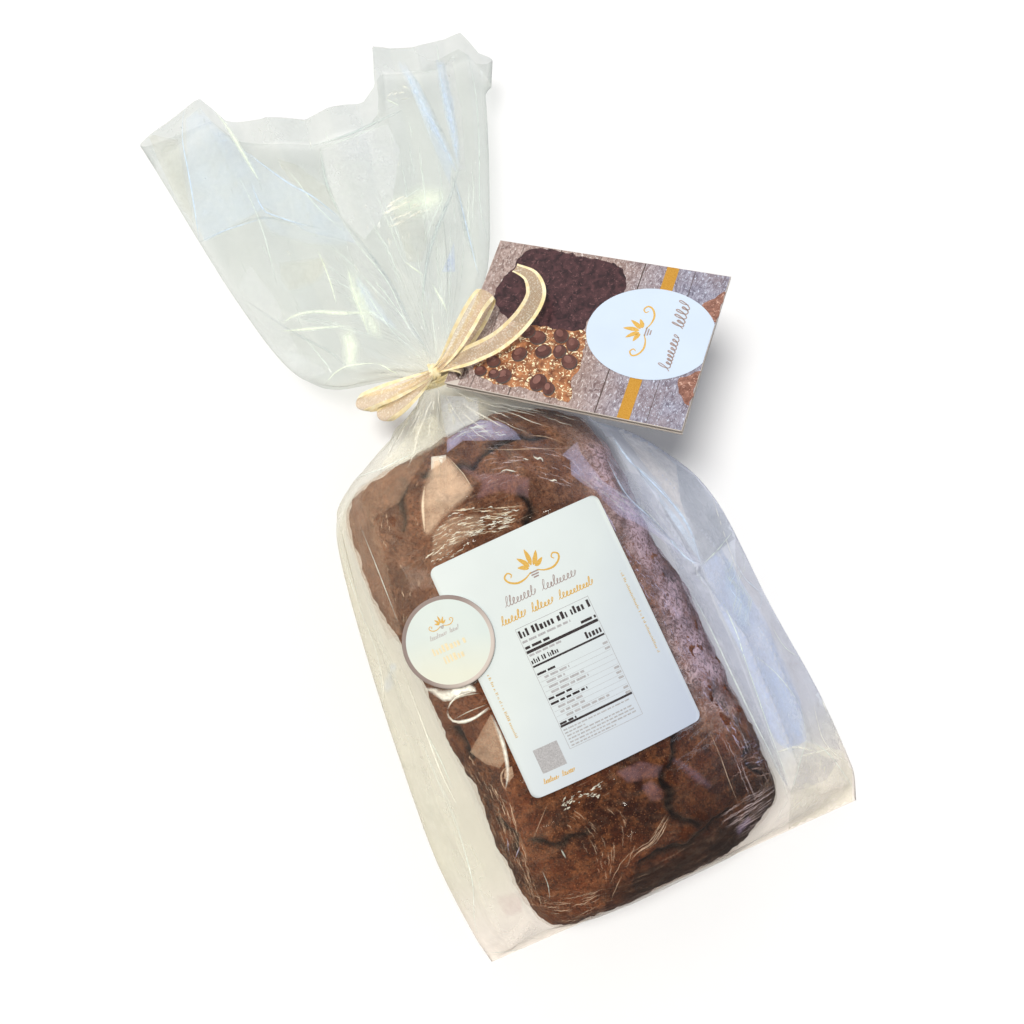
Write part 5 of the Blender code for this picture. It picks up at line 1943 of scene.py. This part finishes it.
def plank_material():
    """Weathered boards: grain runs across the card."""
    material, tree = new_material("card_boards")
    place = add(tree, "UVMap").outputs[0]
    long = stretched(tree, place, 0.0, (1.0, 0.5, 1.0))
    grain = noise_at(tree, long, 0.42, 8.0, 0.74, 1.6)
    fleck = noise_at(tree, long, 1.5, 3.0, 0.6, 0.8)
    broad = noise_at(tree, place, 0.06, 2.0, 0.5)
    right = spread_range(tree, add(tree, "SeparateXYZ", {0: place}).outputs["X"], 55.0, 86.0)
    dark = mixed(tree, right, srgb(108, 84, 78), srgb(98, 92, 108))
    light = mixed(tree, right, srgb(186, 166, 158), srgb(164, 162, 178))
    colour = mixed(tree, spread_range(tree, grain, 0.38, 0.60), dark, light)
    colour = mixed(tree, spread_range(tree, broad, 0.4, 0.62, 0.0, 0.35), colour, srgb(140, 112, 102))
    worn = spread_range(tree, fleck, 0.56, 0.66, 0.0, 0.85)
    colour = mixed(tree, worn, colour, mixed(tree, right, srgb(228, 218, 212), srgb(206, 214, 230)))
    finish_material(tree, surface(tree, colour, 0.4, **PRINT_COAT))
    return material


def crumb_material(name, low, high, pale, size, cut):
    """A printed field of crumbs: dark ground, lighter bits and a few pale flecks."""
    material, tree = new_material(name)
    place = add(tree, "UVMap").outputs[0]
    lump = noise_at(tree, place, 1 / size, 4.0, 0.62, 0.8)
    bits = noise_at(tree, place, 2.1 / size, 2.0, 0.5, 1.4)
    colour = mixed(tree, spread_range(tree, lump, 0.36, 0.66), low, high)
    colour = mixed(tree, spread_range(tree, bits, cut, cut + 0.05), colour, pale)
    finish_material(tree, surface(tree, colour, 0.4, **PRINT_COAT))
    return material


def oval(x, y, half_x, half_y, turn=0.0, count=64, cut_x=None):
    """Points round an ellipse, cut straight at cut_x where given."""
    points = []
    for i in range(count):
        a = 2 * math.pi * i / count
        dx, dy = half_x * math.cos(a), half_y * math.sin(a)
        px = x + dx * math.cos(turn) - dy * math.sin(turn)
        py = y + dx * math.sin(turn) + dy * math.cos(turn)
        points.append((min(px, cut_x) if cut_x else px, py))
    return points


def ragged(outline, amount, seed):
    """A smooth closed outline through key points, with an uneven edge."""
    points = closed_curve(outline, 120)
    out = []
    for n, (a, b) in enumerate(points):
        k = noise.noise(Vector((a / 3, b / 3, seed))) * amount
        c = noise.noise(Vector((a / 3, b / 3, seed + 9))) * amount
        out.append((a + k, b + c))
    return out


class Print:
    """Flat printed shapes on the card, each a little above the one before."""

    def __init__(self, origin, axes):
        self.origin = origin
        self.axes = axes
        self.points = []
        self.faces = []
        self.marks = []
        self.uvs = []

    def fill(self, outline, mark, lift):
        """A flat shape in one print colour."""
        a_axis, b_axis, up = self.axes
        start = len(self.points)
        for a, b in outline:
            spot = self.origin + a_axis * a + b_axis * b + up * lift
            self.points.append(tuple(spot))
            self.uvs.append((a, b))
        self.faces.append(tuple(range(start, start + len(outline))))
        self.marks.append(mark)

    def box(self, low_a, high_a, low_b, high_b, mark, lift):
        """A rectangle in one print colour."""
        self.fill(((low_a, low_b), (high_a, low_b), (high_a, high_b), (low_a, high_b)), mark, lift)

    def made(self, name, materials):
        """The finished piece, with its place on the card as texture coordinates."""
        made = mesh_piece(name, self.points, self.faces, materials, marks=self.marks, smooth=False)
        layer = made.data.uv_layers.new(name="UVMap")
        for loop in made.data.loops:
            layer.data[loop.index].uv = self.uvs[loop.vertex_index]
        return made


# Card print, in millimetres along and across the card from its punched corner
CARD_IN = 0.3
BOARD_JOINTS = (((29.5, 68.0), 0.25), ((12.0, 48.0, 90.0), 0.12))
BAND_EDGES = (77.6, 82.9)
COCOA_EDGE = (
    (13, 69.4), (20.3, 73), (27.8, 72.6), (44.6, 71.6), (52.7, 71.4), (59.4, 68.6), (63.2, 58.4), (58, 51),
    (53, 44), (50.3, 36.3), (40, 35), (27.3, 35), (16.4, 36), (8.5, 42.4), (6.7, 48.9), (10.6, 61.5),
)
CRUMBLE_EDGE = (
    (26.9, 37), (40.7, 37.5), (52.8, 35.7), (54.4, 27.4), (55.8, 19.4), (54.1, 12.7), (55.8, 3.0),
    (43.4, 4.2), (27.4, 4.6), (17.4, 5.2), (11.2, 8.6), (12.3, 13.1), (15.9, 17.5), (20.3, 26),
)
DOT_RISE = 0.008
DOTS = (
    # along, across, radius
    (32.8, 29.6, 3.7), (37.4, 23.6, 3.4), (27.6, 20.2, 3.4), (44.4, 25.0, 3.1), (48.9, 29.4, 3.1),
    (50.0, 21.0, 3.6), (17.6, 14.5, 3.0), (13.6, 9.0, 2.6), (24.3, 8.6, 3.5), (40.1, 9.0, 3.9),
    (45.4, 7.0, 2.9), (42.6, 32.4, 3.5), (27.6, 31.6, 3.3), (20.0, 8.8, 2.4),
)
RUST_EDGES = (
    # seed, outline
    (6, ((97.4, 57.5), (101, 62), (104.7, 66), (104.7, 60), (104.7, 51))),
    (7, ((97.2, 21.9), (101, 25), (104.7, 28), (104.7, 20), (104.6, 11.5), (100, 16))),
)
CRUMBS = (
    # printed field, its dark, lighter and pale colour, size of a crumb, level of the pale flecks
    ("cocoa", (38, 20, 24), (84, 52, 54), (108, 74, 74), 3.4, 0.62),
    ("crumble", (104, 58, 36), (190, 128, 84), (244, 230, 190), 3.6, 0.57),
    ("dot", (74, 42, 36), (104, 66, 58), (132, 96, 88), 6.0, 0.7),
    ("rust", (112, 72, 60), (164, 118, 100), (206, 166, 148), 2.4, 0.6),
    ("glint", (112, 72, 64), (140, 98, 88), (166, 128, 118), 5.0, 0.7),
)
OVAL_AT = (79.9, 40.6)
OVAL_HALF = (27.6, 21.6)
OVAL_LIFT = 0.30
OVAL_PRINT_AT = (79.4, 41.0)


def print_card(sheet):
    """The picture on the card: boards, two heaps of crumbs, drops, a band and an oval."""
    boards, joint, cocoa, crumble, dot, band, white, rust, glint = range(9)
    low, high, right = CARD_IN, CARD_S - 0.5, CARD_L - 0.2
    turns = np.linspace(-math.pi / 2, math.pi * 1.5, 33)
    half = HOLE_D / 2
    hole = [(HOLE_IN + half * math.cos(a), HOLE_IN + half * math.sin(a)) for a in turns]
    sheet.fill([*hole, (HOLE_IN, low), (right, low), (right, high), (0.2, high), (0.2, low)], boards, 0.06)
    for joints, half in BOARD_JOINTS:
        for a in joints:
            sheet.box(a - half, a + half, low, high, joint, 0.09)
    sheet.box(*BAND_EDGES, low, high, band, 0.12)
    sheet.fill(ragged(CRUMBLE_EDGE, 1.6, 4), crumble, 0.12)
    sheet.fill(ragged(COCOA_EDGE, 1.2, 2), cocoa, 0.15)
    for n, (a, b, r) in enumerate(DOTS):
        turn = 0.5 * n
        lift = 0.17 + DOT_RISE * n
        sheet.fill(oval(a + 0.5, b - 0.5, r * 1.05, r * 0.92, turn, 28), joint, lift)
        sheet.fill(oval(a, b, r, r * 0.86, turn, 28), dot, lift + DOT_RISE / 2)
        sheet.fill(oval(a - 0.2 * r, b + 0.25 * r, r * 0.55, r * 0.4, turn, 20), glint, lift + DOT_RISE)
    for seed, edge in RUST_EDGES:
        sheet.fill(ragged(edge, 0.8, seed), rust, 0.12)
    sheet.fill(oval(*OVAL_AT, *OVAL_HALF, 0.0, 72, CARD_L - 0.25), white, OVAL_LIFT)


def card_materials():
    """The materials of the card's picture, in the order of its marks in print_card."""
    crumbs = {}
    for kind, dark, light, pale, size, cut in CRUMBS:
        crumbs[kind] = crumb_material("print_" + kind, srgb(*dark), srgb(*light), srgb(*pale), size, cut)
    return [
        plank_material(),
        ink_material("ink_joint", srgb(66, 54, 50), srgb(96, 80, 74)),
        crumbs["cocoa"],
        crumbs["crumble"],
        crumbs["dot"],
        ink_material("print_band", srgb(182, 130, 40), srgb(198, 148, 60)),
        paper_material("print_oval", srgb(202, 216, 232), 0.38),
        crumbs["rust"],
        crumbs["glint"],
    ]


def oval_place(x, y, lift):
    """A place on the card's oval, whose print reads along the card's short side."""
    along_edge, across, up = card_axes()
    a, b = OVAL_PRINT_AT[0] - y, OVAL_PRINT_AT[1] + x
    return tuple(CARD_CORNER + along_edge * a + across * b + up * (OVAL_LIFT + lift))


def build_card():
    """The card's stock, its printed face and the motif on its oval."""
    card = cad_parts["card"]
    card.data.materials.clear()
    card.data.materials.append(paper_material("card_stock", srgb(206, 196, 186), 0.5, 0.10))
    turned = Sheet(oval_place)
    sprig(turned, 0.0, 3.0, 0.95, GOLD, TAUPE)
    turned.wave(-16.0, 15.6, -11.2, 5.2, 0.6, TAUPE, 83)
    inks = print_inks()
    motif = turned.made("card_motif", [inks[0]] + inks, smooth=False)
    sheet = Print(CARD_CORNER, card_axes())
    print_card(sheet)
    made = sheet.made("card_print", card_materials())


# Ribbon


def ribbon_material():
    """Sheer ribbon with opaque satin edges."""
    material, tree = new_material("sheer_ribbon")
    across = attribute(tree, "across")
    run = attribute(tree, "run")
    warp = add(tree, "Math", {0: sum_of(tree, run, 7.0, "MULTIPLY")}, operation="SINE").outputs[0]
    weft = add(tree, "Math", {0: sum_of(tree, across, 34.0, "MULTIPLY")}, operation="SINE").outputs[0]
    weave = sum_of(tree, warp, weft, "MULTIPLY")
    place = object_place(tree)
    glitter = spread_range(tree, texture(tree, place, 0.7, 2.0), 0.52, 0.66)
    edge = spread_range(tree, add(tree, "Math", {0: across}, operation="ABSOLUTE").outputs[0], 0.58, 0.66)
    satin = spread_range(tree, texture(tree, place, 3.0, 3.0), 0.35, 0.65)
    satin = mixed(tree, satin, srgb(236, 214, 158), srgb(252, 240, 204))
    sheer = mixed(tree, glitter, srgb(240, 212, 176), srgb(255, 246, 222))
    colour = mixed(tree, edge, sheer, satin)
    normal = bump(tree, weave, 0.05, 0.5)
    cloth = surface(tree, colour, 0.38, normal, **{"Sheen Weight": 0.35, "Sheen Roughness": 0.4})
    clear = add(tree, "BsdfTransparent", {"Color": (0.985, 0.95, 0.92, 1.0)}).outputs[0]
    body = sum_of(tree, weave, sum_of(tree, glitter, 0.8, "MULTIPLY"))
    body = spread_range(tree, body, -1.0, 1.4, 0.30, 0.66)
    cover = sum_of(tree, body, edge, "MAXIMUM")
    finish_material(tree, add(tree, "MixShader", {0: cover, 1: clear, 2: cloth}).outputs[0])
    return material


ACROSS_STEPS = 12
BUNCHED_W = 3.2


def ribbon_strip(store, keys, side, open_end, wide=RIBBON_W, steps=12, cup=0.5, swell=0.0):
    """A thin strip of ribbon that starts, and mostly ends, bunched in the knot."""
    path = smooth_path([Vector(k) for k in keys], steps)
    start = len(store["points"])
    outward = (path[len(path) // 2][0] - path[0][0]).normalized()
    run = 0.0
    before_point = path[0][0]
    for n, (point, share) in enumerate(path):
        run += (point - before_point).length
        before_point = point
        tangent = (path[min(n + 1, len(path) - 1)][0] - path[max(n - 1, 0)][0]).normalized()
        if side is None:
            across = tangent.cross(Vector((0, 0, 1))).normalized()
        else:
            across = Vector(side) - tangent * tangent.dot(Vector(side))
            across.normalize()
        normal = across.cross(tangent).normalized()
        spread = float(ease(0.0, 0.32, share))
        if not open_end:
            spread *= float(ease(0.0, 0.32, 1 - share))
        half = (BUNCHED_W + (wide - BUNCHED_W) * spread) / 2
        if open_end:
            half *= 1 - 0.5 * float(ease(0.74, 1.0, share))
        gather = 1 - spread
        for c in range(ACROSS_STEPS + 1):
            v = 2 * c / ACROSS_STEPS - 1
            fold = cup * (v * v - 0.4) * spread + 0.55 * gather * math.sin(v * 7 + share * 9)
            fold += 0.18 * math.sin(run * 0.55 + v * 2.1) * spread
            back = swell * v * v * math.exp(-(((share - 0.5) / 0.14) ** 2))
            store["points"].append(tuple(point + across * half * v + normal * fold - outward * back))
            store["across"].append(v)
            store["run"].append(run)
    rows = len(path)
    columns = ACROSS_STEPS + 1
    for face in grid_faces(rows, columns, False):
        store["faces"].append(tuple(start + i for i in face))


def ribbon_ring(store, middle, radius_x, radius_z, wide, ruff, turn=0.0):
    """A gathered band of ribbon round the neck or the knot."""
    start = len(store["points"])
    count = 96
    for i in range(count + 1):
        a = 2 * math.pi * i / count
        for c in range(ACROSS_STEPS + 1):
            v = 2 * c / ACROSS_STEPS - 1
            puff = ruff * math.sin(v * 8 + 2.4 * math.sin(3 * a)) - 0.35 * v * v
            rx, rz = radius_x + puff, radius_z + puff
            slip = wide / 2 * v + 0.5 * math.sin(2 * a + 0.7)
            local = Vector((rx * math.cos(a), slip, rz * math.sin(a)))
            local.rotate(Matrix.Rotation(turn, 3, "Z"))
            store["points"].append(tuple(Vector(middle) + local))
            store["across"].append(0.9)
            store["run"].append(a * radius_x)
    columns = ACROSS_STEPS + 1
    for face in grid_faces(count + 1, columns, False):
        store["faces"].append(tuple(start + i for i in face))


# Paths of the ribbon's strips, out from the knot and back to it or to a free end
RIGHT_LOOP = (
    (-0.6, 128, 45.6), (5, 129.6, 50), (11, 133, 53), (19, 138.5, 56), (27.6, 144.5, 57.5), (33.8, 148, 55),
    (32.3, 145.5, 51.5), (23.6, 138.8, 49), (13, 132, 47.6), (5, 129.3, 46), (-0.6, 128, 42.6),
)
RIGHT_TAIL = (
    (-0.6, 128, 44.6), (5, 127.6, 49.2), (15.7, 126.7, 52), (28.8, 126.9, 54), (41.8, 130.9, 55.5),
    (51.5, 138, 54.5), (53.7, 147, 51), (49.8, 154.4, 46.5),
)
LEFT_LOOP = (
    (0, 127.6, 45.4), (-7, 127, 47.5), (-18, 127.4, 46), (-29.6, 129, 40), (-36.8, 130.2, 33.5),
    (-32.9, 130, 29.5), (-21.3, 127.6, 33), (-9.5, 127, 39.6), (-0.5, 127.6, 42.5),
)
LOW_LOOP = (
    (-0.5, 128, 45.2), (-7, 125.0, 47), (-15, 122.9, 45), (-24.3, 121.4, 40), (-30.4, 120.8, 35),
    (-26.0, 121.8, 32), (-17, 123.4, 36.4), (-8, 125.4, 41.4), (-0.8, 127.8, 42.9),
)

# The strand through the card's hole: from the knot to the hole, and from there to the neck
STRAND_DOWN = ((0.2, 128.0, 45.0), (4.5, 126.8, 48.9))
STRAND_BACK = ((9.2, 126.2, 40.0), (7.5, 128.0, 37.9))
STRAND_W = 3.2


def build_ribbon():
    """The tied ribbon: band, knot, loops, tail and the strand through the card."""
    store = {"points": [], "faces": [], "across": [], "run": []}
    ribbon_ring(store, (0.5, 128.0, NECK_Z), NECK_RADIUS + 2.2, NECK_RADIUS + 2.2, 4.6, 0.30)
    ribbon_ring(store, KNOT + Vector((0.0, 0.0, 0.2)), 3.5, 3.1, 5.2, 0.28, math.radians(65))
    ribbon_strip(store, RIGHT_LOOP, (0.50, -0.86, 0.0), False, swell=2.4)
    ribbon_strip(store, RIGHT_TAIL, None, True)
    ribbon_strip(store, LEFT_LOOP, (0.05, -1.0, 0.0), False, swell=3.6)
    ribbon_strip(store, LOW_LOOP, (0.30, -0.95, 0.0), False, swell=3.2)
    a_axis, b_axis, up = card_axes()
    hole = CARD_CORNER + a_axis * HOLE_IN + b_axis * HOLE_IN
    through = (hole + up * 3.2, hole - up * 1.6, hole - up * 5.4 + Vector((-0.3, 1.0, 0)))
    strand = (*STRAND_DOWN, *through, *STRAND_BACK)
    ribbon_strip(store, strand, (0.64, 0.77, 0.0), False, wide=STRAND_W)
    made = mesh_piece(
        "sheer_ribbon", store["points"], store["faces"], [ribbon_material()],
        values={"across": store["across"], "run": store["run"]},
    )
    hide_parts("ribbon")


# Floor, light and camera


def build_floor():
    """A plain white floor."""
    half = 3.0
    corners = [(-half, -half, 0), (half, -half, 0), (half, half, 0), (-half, half, 0)]
    mesh = bpy.data.meshes.new("floor")
    mesh.from_pydata(corners, [], [(0, 1, 2, 3)])
    floor = bpy.data.objects.new("floor", mesh)
    bpy.context.scene.collection.objects.link(floor)
    material, tree = new_material("floor_white")
    grain = texture(tree, object_place(tree), 60.0, 2.0)
    tone = mixed(tree, grain, (0.86, 0.86, 0.86, 1.0), (0.88, 0.88, 0.88, 1.0))
    finish_material(tree, surface(tree, tone, 0.8))
    mesh.materials.append(material)
    # A white floor mirrored in the film would draw a grey veil over the loaf's low sides
    floor.visible_glossy = False


SKY_LEFT = (1.0, 0.94, 0.84, 1.0)
SKY_RIGHT = (0.74, 0.82, 0.98, 1.0)
SKY_FRONT = (0.14, 0.12, 0.11, 1.0)
SKY_ABOVE = (0.10, 0.10, 0.11, 1.0)


def build_world():
    """A soft sky, warm at the left and cool at the right, and dark overhead and in front."""
    world = bpy.data.worlds.new("studio")
    bpy.context.scene.world = world
    world.use_nodes = True
    tree = world.node_tree
    tree.nodes.clear()
    direction = add(tree, "TexCoord").outputs["Generated"]
    parts = add(tree, "SeparateXYZ", {0: direction})
    height = spread_range(tree, parts.outputs["Z"], 0.55, 0.92)
    sides = mixed(tree, spread_range(tree, parts.outputs["X"], -0.5, 0.6), SKY_LEFT, SKY_RIGHT)
    sides = mixed(tree, spread_range(tree, parts.outputs["Y"], -0.6, 0.2, 0.85, 0.0), sides, SKY_FRONT)
    colour = mixed(tree, height, sides, SKY_ABOVE)
    back = add(tree, "Background", {"Color": colour, "Strength": 0.80}).outputs[0]
    add(tree, "OutputWorld", {"Surface": back})


LIT_SPOT = (0, 20, 40)


def aim(light, direction, distance):
    """Puts a light out along a direction from a spot by the label and turns it to face it."""
    middle = Vector(placed([LIT_SPOT])[0])
    away = Vector(direction).normalized()
    light.location = middle + away * distance
    light.rotation_mode = "QUATERNION"
    light.rotation_quaternion = away.to_track_quat("Z", "Y")


def softbox(name, direction, wide, high, power, colour):
    """A rectangular lamp that faces the loaf."""
    data = bpy.data.lights.new(name, "AREA")
    data.shape = "RECTANGLE"
    data.size = wide
    data.size_y = high
    data.energy = power
    data.color = colour
    light = bpy.data.objects.new(name, data)
    bpy.context.scene.collection.objects.link(light)
    aim(light, direction, LAMP_AWAY)


SIDE_BOXES = (
    # name, direction, width, height, power, colour
    ("left_box", (-0.95, 0.25, 0.95), 0.16, 0.9, 0.6, (1.0, 0.93, 0.80)),
    ("right_box", (0.95, -0.15, 1.0), 0.14, 0.9, 0.7, (0.74, 0.84, 1.0)),
)
WINDOW_COLOUR = (1.0, 0.97, 0.88)
WINDOWS = (
    # direction from above towards +x and +y, width, height, power
    (-0.20, 0.30, 0.030, 0.090, 0.10),
    (-0.12, 0.34, 0.030, 0.090, 0.10),
    (-0.55, 0.10, 0.040, 0.120, 0.16),
    (0.42, 0.22, 0.040, 0.100, 0.12),
    (0.10, -0.45, 0.040, 0.080, 0.10),
)


SUN_POWER = 2.9
SUN_ANGLE = math.radians(22)
SUN_COLOUR = (1.0, 0.985, 0.955)
SUN_FROM = (-0.16, 0.24, 1.0)
LAMP_AWAY = 1.6


def build_light():
    """One broad key light, a long box at each side and small windows for the film's glints."""
    sun = bpy.data.lights.new("key", "SUN")
    sun.energy = SUN_POWER
    sun.angle = SUN_ANGLE
    sun.color = SUN_COLOUR
    key = bpy.data.objects.new("key", sun)
    bpy.context.scene.collection.objects.link(key)
    # The photograph shows small bright windows in the film, and no broad lamp
    key.visible_glossy = False
    aim(key, SUN_FROM, 2.0)
    for name, direction, wide, high, power, colour in SIDE_BOXES:
        softbox(name, direction, wide, high, power, colour)
    for n, (across, up, wide, high, power) in enumerate(WINDOWS):
        softbox(f"window_{n}", (across, up, 1.0), wide, high, power, WINDOW_COLOUR)


def build_camera():
    """The camera as the photograph was taken."""
    data = bpy.data.cameras.new("photo_view")
    data.sensor_width = SENSOR
    data.lens = FOCAL_PX / PHOTO_PX * SENSOR
    data.clip_start = 0.01
    data.clip_end = 20.0
    camera = bpy.data.objects.new("photo_view", data)
    bpy.context.scene.collection.objects.link(camera)
    right = CAMERA_RIGHT.normalized()
    back = right.cross(-CAMERA_DOWN).normalized()
    up = back.cross(right).normalized()
    turn = Matrix((right, up, back)).transposed().to_4x4()
    turn.translation = Vector(placed([CAMERA_AT])[0])
    camera.matrix_world = turn
    bpy.context.scene.camera = camera


build_floor()
build_world()
build_light()
build_camera()
build_film()
build_loaf()
build_cling()
build_label()
build_round_label()
build_card()
build_ribbon()
bpy.context.scene.view_settings.view_transform = "Standard"
bpy.context.scene.cycles.max_bounces = 8
bpy.context.scene.cycles.diffuse_bounces = 2
bpy.context.scene.cycles.glossy_bounces = 3
bpy.context.scene.cycles.transparent_max_bounces = 24
